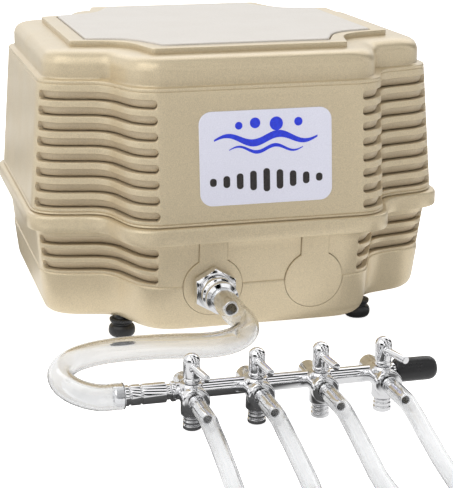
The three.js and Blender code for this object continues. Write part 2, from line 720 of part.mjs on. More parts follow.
// ---------- air lines ----------
const HOSE_ROUTE = [
  [-19.4, -114.8, 26.4], [-19.3, -119.6, 26.3], [-18.3, -125.2, 25.9], [-18.4, -130.8, 25.2],
  [-20.6, -136.0, 24.4], [-25.2, -139.4, 23.5], [-30.8, -139.6, 22.5], [-36.0, -137.0, 21.4],
  [-40.8, -133.0, 20.3], [-45.6, -128.6, 19.1], [-50.6, -124.2, 17.8], [-56.0, -119.8, 16.4],
  [-61.6, -115.8, 15.0], [-67.4, -112.8, 13.7], [-73.4, -111.6, 12.6], [-79.2, -113.0, 11.8],
  [-83.8, -117.0, 11.3], [-86.8, -122.6, 11.0], [-88.0, -129.0, 11.0], [-87.8, -135.6, 11.1],
  [-86.4, -142.0, 11.3], [-84.0, -148.0, 11.6], [-80.8, -152.8, 11.9], [-77.4, -155.6, 12.1],
  [-74.0, -156.0, 12.2],
];

// Each tube's own route, from its barb down to the surface and on to the coil.
const TUBE_ROUTES = [
  [
    [-46.7, -186.1, 12.2], [-46.8, -189.0, 11.9], [-46.9, -193.0, 11.2], [-46.9, -198.0, 10.2],
    [-47.0, -203.0, 9.2], [-47.2, -208.0, 8.2], [-47.4, -214.0, 7.0], [-47.8, -222.0, 5.5],
    [-48.6, -234.0, 3.9], [-49.8, -248.0, 3.15], [-51.2, -264.0, 3.15], [-52.8, -282.0, 3.15],
    [-54.0, -300.0, 3.15], [-54.6, -310.0, 3.15], [-54.8, -317.2, 3.15],
  ],
  [
    [-23.1, -186.1, 12.2], [-23.1, -189.0, 11.9], [-23.1, -193.0, 11.2], [-23.2, -198.0, 10.2],
    [-23.2, -203.0, 9.2], [-23.3, -209.0, 8.1], [-23.4, -215.0, 6.9], [-23.8, -226.0, 4.9],
    [-25.8, -240.0, 3.7], [-30.2, -256.0, 4.4], [-36.4, -272.0, 7.8], [-42.8, -287.0, 11.9],
    [-48.0, -300.0, 14.8], [-51.0, -309.0, 15.5], [-52.4, -314.6, 15.6],
  ],
  [
    [0.5, -186.1, 12.2], [0.5, -189.0, 11.9], [0.4, -194.0, 11.0], [0.2, -200.0, 9.9],
    [0.0, -206.0, 8.7], [-0.3, -212.0, 7.5], [-0.6, -218.0, 6.4], [-1.2, -230.0, 4.6],
    [-0.4, -244.0, 3.8], [3.4, -259.0, 6.4], [9.4, -274.0, 11.6], [16.0, -288.0, 17.0],
    [21.6, -300.0, 20.8], [24.9, -309.0, 21.8], [26.4, -314.6, 21.9],
  ],
  [
    [24.1, -186.1, 12.2], [24.0, -189.0, 11.9], [23.8, -194.0, 11.0], [23.5, -200.0, 9.9],
    [23.1, -206.0, 8.7], [22.8, -213.0, 7.4], [22.4, -220.0, 6.1], [21.8, -238.0, 3.8],
    [22.0, -252.0, 3.3], [23.0, -266.0, 3.4], [24.6, -280.0, 5.2], [26.4, -294.0, 7.6],
    [27.8, -305.0, 9.0], [28.4, -311.0, 9.3], [28.8, -317.2, 9.3],
  ],
];
const COIL_LAYERS = [0, 2, 3, 1]; // which layer of the stack each tube is wound in

// The outer shape of one tube's coil: flat, round, open in the middle.
function coilRing(tube) {
  const low = COIL_LAYERS[tube] * (TUBE_D + GAP);
  const inner = COIL_INNER_R - TUBE_D / 2;
  const outer = COIL_INNER_R + (COIL_TURNS - 0.5) * TUBE_D;
  return ring(inner, outer, low, low + TUBE_D, FINE).translate(COIL_X, COIL_Y, 0);
}

// Strap round the far side of the whole stack of coils.
function coilTie() {
  const inner = COIL_INNER_R - TUBE_D / 2 - 1;
  const outer = COIL_INNER_R + (COIL_TURNS - 0.5) * TUBE_D + GAP;
  const top = 4 * TUBE_D + 3 * GAP;
  const middle = COIL_Y - (inner + outer) / 2;
  const strap = box(7, outer - inner + 2, top + GAP + 1, COIL_X, middle, (top + GAP + 1) / 2);
  return cut(strap, box(9, outer - inner, top + GAP, COIL_X, middle, (top + GAP) / 2));
}

// ---------- assembly ----------
const pump = new THREE.Group();
pump.position.set(0, REAR_SHIFT, 0);

function add(name, geometry, material) {
  const mesh = new THREE.Mesh(geometry, material);
  mesh.name = name;
  pump.add(mesh);
}

add('upper_housing', upperHousing(), GOLD());
add('lower_housing', lowerHousing(), GOLD());
add('top_panel', topPanel(), PANEL());
add('label_plate', labelPlate(), LABEL());
FOOT_PLACES.forEach(([place, x, y]) => add(`foot_${place}`, foot(x, y), RUBBER()));

add('outlet_insert', outletInsert(), GOLD());
add('blank_insert', keyholeSolid(0, 5, 0.2, BLANK_X), GOLD());
add('outlet_nut', outletNut(), CHROME());
add('outlet_nozzle', outletNozzle(), CHROME());
add('cable_gland', cableGland(), RUBBER());
add('intake_cover', intakeCover(), NYLON());
add('foam_filter', foamFilter(), FOAM());

add('motor_frame', motorFrame(), STEEL());
MOUNT_PLACES.forEach(([place, x, y]) => add(`vibration_mount_${place}`, vibrationMount(x, y), RUBBER()));
[['front', -1], ['rear', 1]].forEach(([place, side]) => {
  add(`magnet_core_${place}`, magnetCore(side), STEEL());
  add(`magnet_coil_${place}`, magnetCoil(side), COPPER());
});
add('armature', armature(), STEEL());
[['left', -1], ['right', 1]].forEach(([place, side]) => {
  add(`diaphragm_${place}`, diaphragm(side), RUBBER());
  add(`clamp_ring_${place}`, clampRing(side), NYLON());
  add(`pump_head_${place}`, pumpHead(side), NYLON());
});

add('air_joint', airJoint(), NYLON());
Object.entries(HEAD_HOSES).forEach(([place, route]) => {
  add(`head_hose_${place}`, bar(route, 6, 8, 12), RUBBER());
});

add('manifold_pipe', manifoldPipe(), CHROME());
add('manifold_end_cap', manifoldCap(), RUBBER());
for (let i = 0; i < VALVES; i += 1) {
  add(`valve_body_${i + 1}`, valveBody(valveX(i)), CHROME());
  add(`valve_stem_${i + 1}`, valveStem(valveX(i), PIN_ANGLES[i]), CHROME());
  add(`valve_nut_${i + 1}`, valveNut(valveX(i)), CHROME());
}

add('main_hose', bar(HOSE_ROUTE, HOSE_D, 12, 7), CLEAR());
TUBE_ROUTES.forEach((route, i) => {
  add(`air_tube_${i + 1}`, bar(route, TUBE_D, 8, 9), CLEAR());
  add(`tube_coil_${i + 1}`, coilRing(i), CLEAR());
});
add('coil_tie', coilTie(), RUBBER());

export default pump;
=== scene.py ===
# Electromagnetic air pump with a four-way air manifold: the looks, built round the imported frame.
# Shapes are worked out in millimetres in the casing's own frame, whose origin is under the middle
# of the casing on the surface it stands on. place() turns that into the row frame, in metres.
import math

import bmesh
import bpy
import numpy as np
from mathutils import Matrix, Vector


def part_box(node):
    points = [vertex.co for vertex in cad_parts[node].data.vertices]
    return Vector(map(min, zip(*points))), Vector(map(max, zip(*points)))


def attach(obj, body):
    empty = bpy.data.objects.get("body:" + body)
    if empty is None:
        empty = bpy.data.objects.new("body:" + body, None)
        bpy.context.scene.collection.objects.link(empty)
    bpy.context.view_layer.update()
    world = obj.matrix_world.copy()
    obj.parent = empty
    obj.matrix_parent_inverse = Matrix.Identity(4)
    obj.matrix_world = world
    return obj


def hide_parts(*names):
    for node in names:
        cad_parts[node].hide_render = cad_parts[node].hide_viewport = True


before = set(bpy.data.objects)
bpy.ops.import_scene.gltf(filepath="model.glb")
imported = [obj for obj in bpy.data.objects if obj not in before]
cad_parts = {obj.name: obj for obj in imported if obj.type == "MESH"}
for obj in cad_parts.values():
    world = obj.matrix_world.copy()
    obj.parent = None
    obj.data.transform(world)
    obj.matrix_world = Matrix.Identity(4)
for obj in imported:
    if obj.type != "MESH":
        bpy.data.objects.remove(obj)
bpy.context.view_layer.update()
scene = bpy.context.scene

# ---------- where things are, from the frame ----------
MM = 0.001
CASING_LOW, CASING_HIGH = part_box("upper_housing")
ORIGIN = np.array([
    (CASING_LOW.x + CASING_HIGH.x) / 2,
    (CASING_LOW.y + CASING_HIGH.y) / 2,
    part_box("foot_front_left")[0].z,
])


def place(points):
    """Casing millimetres to row-frame metres."""
    return np.asarray(points, float) * MM + ORIGIN


def home(node):
    """(low, high) of a CAD node in casing millimetres."""
    return [(np.array(corner) - ORIGIN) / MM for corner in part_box(node)]


def middle(node):
    low, high = home(node)
    return (low + high) / 2


# ---------- camera ----------
CAMERA_AT = [-161.2, -647.9, 206.3]
CAMERA_YAW = math.radians(14.65)
CAMERA_PITCH = math.radians(15.56)

camera_data = bpy.data.cameras.new("camera")
camera_data.lens = 112.35
camera_data.sensor_width = 36
camera_data.clip_start = 0.01
camera = bpy.data.objects.new("camera", camera_data)
scene.collection.objects.link(camera)
camera.location = place(CAMERA_AT)
camera.rotation_euler = (math.pi / 2 - CAMERA_PITCH, 0, -CAMERA_YAW)
scene.camera = camera


# ---------- mesh helpers ----------
# The least angles, in degrees, at which an edge between two faces is drawn sharp.
PLAIN_SHARP = 38
METAL_SHARP = 30
RUBBER_SHARP = 50
TUBE_SHARP = 60
PRINT_SHARP = 25

SIDES = 40
FINE_SIDES = 48


def add_mesh(name, verts, faces, material, sharp_deg=PLAIN_SHARP):
    """A smooth-shaded object in the row frame, from points in casing millimetres."""
    mesh = bpy.data.meshes.new(name)
    mesh.from_pydata(place(verts).tolist(), [], faces)
    work = bmesh.new()
    work.from_mesh(mesh)
    bmesh.ops.remove_doubles(work, verts=work.verts, dist=1e-8)
    bmesh.ops.recalc_face_normals(work, faces=work.faces)
    work.to_mesh(mesh)
    work.free()
    obj = bpy.data.objects.new(name, mesh)
    scene.collection.objects.link(obj)
    shade(obj, sharp_deg)
    if material is not None:
        mesh.materials.append(material)
    return obj


def shade(obj, sharp_deg):
    obj.data.polygons.foreach_set("use_smooth", [True] * len(obj.data.polygons))
    obj.data.set_sharp_from_angle(angle=math.radians(sharp_deg))


def finish_piece(obj, body, slot, *nodes):
    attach(obj, body)
    if nodes:
        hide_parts(*nodes)
    return obj


def make(name, shape, material, slot, *nodes, body="root", sharp=PLAIN_SHARP):
    """A finished piece from (verts, faces)."""
    return finish_piece(add_mesh(name, *shape, material, sharp), body, slot, *nodes)


def loft(rings, close=False):
    """Faces between equal-length rings. The ends are closed with flat faces, or joined together."""
    count = len(rings[0])
    verts = [point for ring in rings for point in ring]
    faces = []
    pairs = [(row, row + 1) for row in range(len(rings) - 1)]
    if close:
        pairs.append((len(rings) - 1, 0))
    for low, high in pairs:
        for i in range(count):
            j = (i + 1) % count
            faces.append((low * count + i, low * count + j, high * count + j, high * count + i))
    if not close:
        faces.append(tuple(range(count)))
        faces.append(tuple((len(rings) - 1) * count + i for i in range(count)))
    return verts, faces


def merge(*parts):
    """Several (verts, faces) as one."""
    verts, faces = [], []
    for more_verts, more_faces in parts:
        start = len(verts)
        verts += list(more_verts)
        faces += [tuple(start + i for i in face) for face in more_faces]
    return verts, faces


FILLET_SHARE = 0.42  # of a side, at most, is taken up by the rounding at each of its ends
STRAIGHT_COS = 0.985


def fillet(profile, radius, steps=3):
    """A closed profile with each corner rounded, as far as its neighbours leave room."""
    points = [np.array(p, float) for p in profile]
    out = []
    for i, here in enumerate(points):
        before, after = points[i - 1], points[(i + 1) % len(points)]
        to_before, to_after = before - here, after - here
        a, b = np.linalg.norm(to_before), np.linalg.norm(to_after)
        on_axis = here[0] < 1e-6
        straight = abs(np.dot(to_before, to_after)) > STRAIGHT_COS * a * b
        if on_axis or straight:
            out.append(here)
            continue
        reach = min(radius, a * FILLET_SHARE, b * FILLET_SHARE)
        start, end = here + to_before / a * reach, here + to_after / b * reach
        for k in range(steps + 1):
            t = k / steps
            out.append(start * (1 - t) ** 2 + here * 2 * t * (1 - t) + end * t * t)
    return out


def raised(profile, by):
    return [(r, h + by) for r, h in profile]


AXES = {
    "z": ((1, 0, 0), (0, 1, 0), (0, 0, 1)),
    "x": ((0, 1, 0), (0, 0, 1), (1, 0, 0)),
    "-y": ((1, 0, 0), (0, 0, 1), (0, -1, 0)),
    "y": ((0, 0, 1), (1, 0, 0), (0, 1, 0)),
}


def turned(profile, axis, at, segments, round_by, axes=None):
    """A closed [radius, height] profile turned about an axis through at."""
    u, v, w = (np.array(a, float) for a in (axes or AXES[axis]))
    shape = fillet(profile, round_by)
    angles = np.linspace(0, 2 * math.pi, segments, endpoint=False)
    verts, rows = [], []
    for r, h in shape:
        if r < 1e-6:
            rows.append([len(verts)] * segments)
            verts.append(np.array(at) + w * h)
            continue
        rows.append(list(range(len(verts), len(verts) + segments)))
        for a in angles:
            verts.append(np.array(at) + w * h + r * (u * math.cos(a) + v * math.sin(a)))
    faces = []
    for k in range(len(rows)):
        low, high = rows[k], rows[(k + 1) % len(rows)]
        for i in range(segments):
            j = (i + 1) % segments
            face = list(dict.fromkeys((low[i], low[j], high[j], high[i])))
            if len(face) > 2:
                faces.append(tuple(face))
    return verts, faces


def smooth_line(points, step):
    """Points about step apart on a smooth curve through the given ones."""
    p = np.array(points, float)
    p = np.vstack([2 * p[0] - p[1], p, 2 * p[-1] - p[-2]])
    knots = np.concatenate([[0], np.cumsum(np.linalg.norm(np.diff(p, axis=0), axis=1) ** 0.5)])
    out = []
    for i in range(1, len(p) - 2):
        t0, t1, t2, t3 = knots[i - 1:i + 3]
        count = max(1, round(np.linalg.norm(p[i + 1] - p[i]) / step))
        for t in np.linspace(t1, t2, count, endpoint=False):
            a1 = ((t1 - t) * p[i - 1] + (t - t0) * p[i]) / (t1 - t0)
            a2 = ((t2 - t) * p[i] + (t - t1) * p[i + 1]) / (t2 - t1)
            a3 = ((t3 - t) * p[i + 1] + (t - t2) * p[i + 2]) / (t3 - t2)
            b1 = ((t2 - t) * a1 + (t - t0) * a2) / (t2 - t0)
            b2 = ((t3 - t) * a2 + (t - t1) * a3) / (t3 - t1)
            out.append(((t2 - t) * b1 + (t - t1) * b2) / (t2 - t1))
    out.append(p[-2])
    return np.array(out)


TUBE_END_RISE = 0.25


def hollow_tube(line, outer, inner, sides):
    """A tube with a bore along a line. outer and inner give the radius at each share of its length."""
    ahead = np.gradient(line, axis=0)
    ahead /= np.linalg.norm(ahead, axis=1)[:, None]
    across = np.cross(ahead[0], [0, 0, 1])
    along = np.concatenate([[0], np.cumsum(np.linalg.norm(np.diff(line, axis=0), axis=1))])
    angles = np.linspace(0, 2 * math.pi, sides, endpoint=False)
    outside, inside = [], []
    for point, forward, s in zip(line, ahead, along):
        across = across - forward * np.dot(across, forward)
        across /= np.linalg.norm(across)
        up = np.cross(across, forward)
        circle = np.outer(np.cos(angles), across) + np.outer(np.sin(angles), up)
        outside.append(point + circle * outer(s))
        inside.append(point + circle * inner(s))
    ends = []
    for k, sign in ((0, 1), (-1, -1)):
        mid = (outside[k] + inside[k]) / 2
        ends.append(mid - sign * ahead[k] * TUBE_END_RISE)
    rings = [ends[0], *outside, ends[1], *inside[::-1]]
    return loft(rings, close=True)


def carve(obj, *cutters):
    """Cuts other objects out of this one and removes them."""
    for cutter in cutters:
        cut = obj.modifiers.new("cut", "BOOLEAN")
        cut.operation = "DIFFERENCE"
        cut.solver = "EXACT"
        cut.object = cutter
    evaluated = obj.evaluated_get(bpy.context.evaluated_depsgraph_get())
    mesh = bpy.data.meshes.new_from_object(evaluated)
    obj.modifiers.clear()
    obj.data = mesh
    for cutter in cutters:
        bpy.data.objects.remove(cutter)
    shade(obj, PLAIN_SHARP)


# ---------- materials ----------
def principled(name, colour, roughness, metallic=0.0, **uniform):
    material = bpy.data.materials.new(name)
    material.use_nodes = True
    shader = material.node_tree.nodes["Principled BSDF"]
    shader.inputs["Base Color"].default_value = (*colour, 1)
    shader.inputs["Roughness"].default_value = roughness
    shader.inputs["Metallic"].default_value = metallic
    for socket, value in uniform.items():
        shader.inputs[socket.replace("_", " ")].default_value = value
    return material


def node(material, kind, **settings):
    made = material.node_tree.nodes.new(kind)
    for key, value in settings.items():
        if key in made.inputs:
            made.inputs[key].default_value = value
        else:
            setattr(made, key, value)
    return made


def link(source, socket):
    socket.id_data.links.new(source, socket)


def noise(material, per_metre, detail=3.0, stretch=(1, 1, 1)):
    """A noise pattern on the piece's own coordinates, about per_metre grains to the metre."""
    coords = node(material, "ShaderNodeTexCoord")
    mapping = node(material, "ShaderNodeMapping", Scale=stretch)
    pattern = node(material, "ShaderNodeTexNoise", Scale=per_metre, Detail=detail)
    link(coords.outputs["Object"], mapping.inputs["Vector"])
    link(mapping.outputs["Vector"], pattern.inputs["Vector"])
    return pattern.outputs["Fac"]


def ranged(material, source, low, high, at_low=0.35, at_high=0.65):
    """A number that runs from low to high as the pattern runs through its middle."""
    span = {"From Min": at_low, "From Max": at_high, "To Min": low, "To Max": high}
    made = node(material, "ShaderNodeMapRange", **span)
    link(source, made.inputs["Value"])
    return made.outputs["Result"]


def two_tone(material, source, dark, light):
    """Colour that runs between two tones with a pattern."""
    ramp = node(material, "ShaderNodeValToRGB")
    for stop, position, colour in zip(ramp.color_ramp.elements, (0.35, 0.65), (dark, light)):
        stop.position = position
        stop.color = (*colour, 1)
    link(source, ramp.inputs["Fac"])
    link(ramp.outputs["Color"], shader_of(material).inputs["Base Color"])


def shader_of(material):
    return material.node_tree.nodes["Principled BSDF"]


def vary_roughness(material, source, low, high):
    link(ranged(material, source, low, high), shader_of(material).inputs["Roughness"])


def grain(material, source, depth_mm, strength=1.0):
    """Relief of that depth from a pattern."""
    bump = node(material, "ShaderNodeBump", Strength=strength, Distance=depth_mm * MM)
    earlier = shader_of(material).inputs["Normal"]
    if earlier.is_linked:
        link(earlier.links[0].from_socket, bump.inputs["Normal"])
    link(source, bump.inputs["Height"])
    link(bump.outputs["Normal"], earlier)


def tone(colour, by):
    return tuple(min(1, c * by) for c in colour)


def gold_paint(name, colour, metallic, roughness):
    material = principled(name, colour, roughness, metallic, Coat_Weight=0.28, Coat_Roughness=0.28)
    flakes = noise(material, 2600, 2)
    two_tone(material, flakes, tone(colour, 0.9), tone(colour, 1.08))
    vary_roughness(material, noise(material, 60), roughness - 0.04, roughness + 0.04)
    grain(material, noise(material, 1500, 2), 0.012)
    grain(material, noise(material, 130, 2), 0.02)
    return material


GOLD = gold_paint("champagne_gold", (0.65, 0.545, 0.37), 0.5, 0.36)
# A darker gold for the louvers' recessed faces: painted shade where the recesses lie in shade.
LOUVER_SHADE_GOLD = gold_paint("louver_painted_shade_gold", (0.55, 0.46, 0.325), 0.42, 0.42)
PANEL_GOLD = gold_paint("panel_gold", (0.68, 0.635, 0.575), 0.1, 0.46)

CHROME = principled("polished_chrome", (0.82, 0.82, 0.83), 0.08, 1.0)
vary_roughness(CHROME, noise(CHROME, 220, 4), 0.05, 0.11)
grain(CHROME, noise(CHROME, 300, 2), 0.0015)

RUBBER = principled("black_rubber", (0.012, 0.012, 0.013), 0.35)
vary_roughness(RUBBER, noise(RUBBER, 500), 0.26, 0.42)
grain(RUBBER, noise(RUBBER, 1800, 2), 0.01)

CLEAR = principled("clear_pvc", (0.96, 0.965, 0.97), 0.04, 0.0, Transmission_Weight=1.0, IOR=1.4)
vary_roughness(CLEAR, noise(CLEAR, 120), 0.02, 0.07)
grain(CLEAR, noise(CLEAR, 45, 2), 0.05)

LABEL = principled("label_film", (0.68, 0.68, 0.78), 0.32, 0.1)
two_tone(LABEL, noise(LABEL, 3000, 2), (0.66, 0.66, 0.76), (0.72, 0.72, 0.82))
vary_roughness(LABEL, noise(LABEL, 90), 0.28, 0.38)

BLUE_INK = principled("blue_ink", (0.01, 0.03, 0.62), 0.35)
two_tone(BLUE_INK, noise(BLUE_INK, 900), (0.008, 0.024, 0.55), (0.012, 0.04, 0.68))
DARK_INK = principled("dark_ink", (0.02, 0.016, 0.015), 0.4)
two_tone(DARK_INK, noise(DARK_INK, 900), (0.016, 0.012, 0.012), (0.03, 0.024, 0.022))

NYLON = principled("black_nylon", (0.03, 0.031, 0.034), 0.5)
two_tone(NYLON, noise(NYLON, 700), (0.022, 0.023, 0.026), (0.04, 0.041, 0.045))
grain(NYLON, noise(NYLON, 1200, 2), 0.02)

FOAM = principled("filter_foam", (0.045, 0.048, 0.054), 0.95)
two_tone(FOAM, noise(FOAM, 1400, 5), (0.01, 0.01, 0.012), (0.09, 0.095, 0.1))
grain(FOAM, noise(FOAM, 900, 5), 0.5)

STEEL = principled("bare_steel", (0.3, 0.31, 0.32), 0.4, 0.9)
two_tone(STEEL, noise(STEEL, 30, 4, (1, 1, 14)), (0.24, 0.25, 0.26), (0.38, 0.39, 0.4))
vary_roughness(STEEL, noise(STEEL, 200), 0.32, 0.48)
grain(STEEL, noise(STEEL, 500, 2), 0.015)

COPPER = principled("copper_winding", (0.45, 0.14, 0.045), 0.4, 0.85)
wires = node(COPPER, "ShaderNodeTexWave", bands_direction="Z", Scale=450, Distortion=0.6, Detail=1.0)
link(node(COPPER, "ShaderNodeTexCoord").outputs["Object"], wires.inputs["Vector"])
two_tone(COPPER, wires.outputs["Fac"], (0.3, 0.08, 0.025), (0.55, 0.19, 0.06))
grain(COPPER, wires.outputs["Fac"], 0.12)

# ---------- air lines: the routes of part.mjs, in metres from the casing's origin ----------
HOSE_ROUTE = [
    (-0.0194, -0.1148, 0.0264), (-0.0193, -0.1196, 0.0263), (-0.0183, -0.1252, 0.0259),
    (-0.0184, -0.1308, 0.0252), (-0.0206, -0.136, 0.0244), (-0.0252, -0.1394, 0.0235),
    (-0.0308, -0.1396, 0.0225), (-0.036, -0.137, 0.0214), (-0.0408, -0.133, 0.0203),
    (-0.0456, -0.1286, 0.0191), (-0.0506, -0.1242, 0.0178), (-0.056, -0.1198, 0.0164),
    (-0.0616, -0.1158, 0.015), (-0.0674, -0.1128, 0.0137), (-0.0734, -0.1116, 0.0126),
    (-0.0792, -0.113, 0.0118), (-0.0838, -0.117, 0.0113), (-0.0868, -0.1226, 0.011),
    (-0.088, -0.129, 0.011), (-0.0878, -0.1356, 0.0111), (-0.0864, -0.142, 0.0113),
    (-0.084, -0.148, 0.0116), (-0.0808, -0.1528, 0.0119), (-0.0774, -0.1556, 0.0121),
    (-0.074, -0.156, 0.0122),
]
TUBE_ROUTES = [
    [
        (-0.0467, -0.1861, 0.0122), (-0.0468, -0.189, 0.0119), (-0.0469, -0.193, 0.0112),
        (-0.0469, -0.198, 0.0102), (-0.047, -0.203, 0.0092), (-0.0472, -0.208, 0.0082),
        (-0.0474, -0.214, 0.007), (-0.0478, -0.222, 0.0055), (-0.0486, -0.234, 0.0039),
        (-0.0498, -0.248, 0.00315), (-0.0512, -0.264, 0.00315), (-0.0528, -0.282, 0.00315),
        (-0.054, -0.3, 0.00315), (-0.0546, -0.31, 0.00315), (-0.0548, -0.3172, 0.00315),
    ],
    [
        (-0.0231, -0.1861, 0.0122), (-0.0231, -0.189, 0.0119), (-0.0231, -0.193, 0.0112),
        (-0.0232, -0.198, 0.0102), (-0.0232, -0.203, 0.0092), (-0.0233, -0.209, 0.0081),
        (-0.0234, -0.215, 0.0069), (-0.0238, -0.226, 0.0049), (-0.0258, -0.24, 0.0037),
        (-0.0302, -0.256, 0.0044), (-0.0364, -0.272, 0.0078), (-0.0428, -0.287, 0.0119),
        (-0.048, -0.3, 0.0148), (-0.051, -0.309, 0.0155), (-0.0524, -0.3146, 0.0156),
    ],
    [
        (0.0005, -0.1861, 0.0122), (0.0005, -0.189, 0.0119), (0.0004, -0.194, 0.011),
        (0.0002, -0.2, 0.0099), (0.0, -0.206, 0.0087), (-0.0003, -0.212, 0.0075),
        (-0.0006, -0.218, 0.0064), (-0.0012, -0.23, 0.0046), (-0.0004, -0.244, 0.0038),
        (0.0034, -0.259, 0.0064), (0.0094, -0.274, 0.0116), (0.016, -0.288, 0.017),
        (0.0216, -0.3, 0.0208), (0.0249, -0.309, 0.0218), (0.0264, -0.3146, 0.0219),
    ],
    [
        (0.0241, -0.1861, 0.0122), (0.024, -0.189, 0.0119), (0.0238, -0.194, 0.011),
        (0.0235, -0.2, 0.0099), (0.0231, -0.206, 0.0087), (0.0228, -0.213, 0.0074),
        (0.0224, -0.22, 0.0061), (0.0218, -0.238, 0.0038), (0.022, -0.252, 0.0033),
        (0.023, -0.266, 0.0034), (0.0246, -0.28, 0.0052), (0.0264, -0.294, 0.0076),
        (0.0278, -0.305, 0.009), (0.0284, -0.311, 0.0093), (0.0288, -0.3172, 0.0093),
    ],
]

HOSE_D = 9.4
HOSE_WALL = 1.0
HOSE_ON_NOZZLE = (4.95, 4.0)  # outer and inner radius where the hose is stretched over it
HOSE_ON_INLET = (4.74, 3.74)
TUBE_D = 6.0
TUBE_WALL = 0.85
TUBE_ON_BARB = (3.1, 2.46)
COIL_LIFT = 0.15  # of the lowest layer above the floor
LAYER_GAP = 0.3
COIL_LAYERS = [0, 2, 3, 1]
COIL_TURNS = 4
COIL_STEP = 1.0  # radians over which a turn moves in to the next one
TURN_POINTS = 30
COIL_MIDDLE = middle("tube_coil_1")
COIL_OUTER_R = (home("tube_coil_1")[1][0] - home("tube_coil_1")[0][0]) / 2
LINE_STEP = 1.6
BARB_GRIP = 16.5  # how far a tube is pushed onto its barb
NOZZLE_GRIP = 14.5
INLET_GRIP = 4.1


def ease(t):
    t = min(1.0, max(0.0, t))
    return t * t * (3 - 2 * t)


def in_mm(route):
    return [tuple(c / MM for c in point) for point in route]


def coil_turns(tube, side):
    """One tube's turns from the outermost in, entered on the left (side -1) or the right (1)."""
    z = max(TUBE_D / 2 + COIL_LIFT, TUBE_D / 2 + COIL_LAYERS[tube] * (TUBE_D + LAYER_GAP))
    points = []
    for turn in range(COIL_TURNS):
        start_r = COIL_OUTER_R - TUBE_D * (turn + 0.5)
        last = turn == COIL_TURNS - 1
        sweep = 2 * math.pi - (COIL_STEP if last else 0)
        for k in range(TURN_POINTS):
            angle = sweep * k / TURN_POINTS
            moved_in = 0 if last else ease((angle - 2 * math.pi + COIL_STEP) / COIL_STEP)
            r = start_r - TUBE_D * moved_in
            turned_by = math.pi + angle if side < 0 else -angle
            points.append((
                COIL_MIDDLE[0] + r * math.cos(turned_by),
                COIL_MIDDLE[1] + r * math.sin(turned_by),
                z,
            ))
    return points


def swollen(plain, over_barb, grip, relax, length=None, end_r=0.0, end_grip=0.0):
    """The radius along a tube that is stretched over a barb at its start, and at its end if asked."""
    def radius(s):
        r = over_barb + (plain - over_barb) * ease((s - grip) / relax)
        if length is not None:
            r += (end_r - plain) * ease((s - length + end_grip + relax) / relax)
        return r
    return radius


def length_of(line):
    return float(np.linalg.norm(np.diff(line, axis=0), axis=1).sum())


def make_hose():
    route = in_mm(HOSE_ROUTE)
    x, y, z = route[0]
    start = [(x, y + NOZZLE_GRIP, z), (x, y + NOZZLE_GRIP / 2, z)]
    ex, ey, ez = route[-1]
    line = smooth_line([*start, *route, (ex + INLET_GRIP, ey, ez)], LINE_STEP)
    total = length_of(line)
    outer, inner = (
        swollen(HOSE_D / 2 - wall, on_nozzle, NOZZLE_GRIP, 7, total, on_inlet, INLET_GRIP)
        for wall, on_nozzle, on_inlet in zip((0, HOSE_WALL), HOSE_ON_NOZZLE, HOSE_ON_INLET)
    )
    shape = hollow_tube(line, outer, inner, 28)
    return make("clear_main_hose", shape, CLEAR, "clear_tube", "main_hose", sharp=TUBE_SHARP), line


def make_tube(i):
    route = in_mm(TUBE_ROUTES[i])
    x, y, z = route[0]
    start = [(x, y + BARB_GRIP, z), (x, y + BARB_GRIP / 2, z)]
    side = -1 if route[-1][0] < COIL_MIDDLE[0] else 1
    line = smooth_line([*start, *route, *coil_turns(i, side)], LINE_STEP)
    outer, inner = (
        swollen(TUBE_D / 2 - wall, on_barb, BARB_GRIP, 5)
        for wall, on_barb in zip((0, TUBE_WALL), TUBE_ON_BARB)
    )
    tube = make(f"clear_air_tube_{i + 1}", hollow_tube(line, outer, inner, 18), CLEAR, "clear_tube",
                f"air_tube_{i + 1}", f"tube_coil_{i + 1}", sharp=TUBE_SHARP)
    return tube, line


# ---------- the casing's plan ----------
# Each plan holds: half-width, half-depth, where the side wall turns, the inner corner between the
# two lobes (x, y), where the front wall turns, and how far before each outer corner and each inner
# corner the wall starts to bend.
PANEL_PLAN = np.array([60.8, 64.0, 38.5, 42.5, 43.6, 34.0, 2, 12])
PLATEAU_PLAN = np.array([67.6, 70.7, 40.5, 45.6, 46.2, 39.8, 1.5, 13])
RIM_PLAN = np.array([82.3, 85.5, 54.6, 57.6, 61.6, 49.0, 11, 7])
BELT_PLAN = np.array([86.5, 89.6, 55.8, 58.4, 62.2, 50.6, 11, 7])
SKIRT_PLAN = np.array([85.2, 86.1, 54.0, 57.6, 59.2, 47.8, 11, 7])
BASE_PLAN = np.array([81.2, 82.0, 49.4, 55.0, 56.4, 43.4, 11, 7])
FLANGE_REACH = 2.0

FLOOR_Z = home("lower_housing")[0][2]
BELT_LOW_Z = 46.5
PARTING_Z = (home("lower_housing")[1][2] + home("upper_housing")[0][2]) / 2
RIM_Z = 107.4
PLATEAU_Z = home("upper_housing")[1][2]
PANEL_TOP_Z = home("top_panel")[1][2]
SHOULDER = [(0, 118.6), (0.5, 118.5), (0.78, 117.7), (0.93, 116.1), (1, 113.6), (1, 110.5), (1, 108.1)]
SHOULDER_SPAN = 15  # across the slope, near enough to smooth its curve
SHOULDER_STEP = 2.4
SHOULDER_BAY = 3
CEILING_Z = 114.8
PARTING_HALF_GAP = 0.15
BASE_EDGE = 5.4  # height of the round edge under the lower wall
WALL = 5.0

SLOT_HALF = 1.75
SLOT_END_X = 41.5
SLOT_START = 1.3  # in quarter_at's u
UPPER_SLOTS = [101.4 - 6.2 * i for i in range(8)]
LOWER_SLOTS = [41.7 - 5.6 * i for i in range(3)]
LEDGE_Z = 27.3
LEDGE_STEP = 0.5

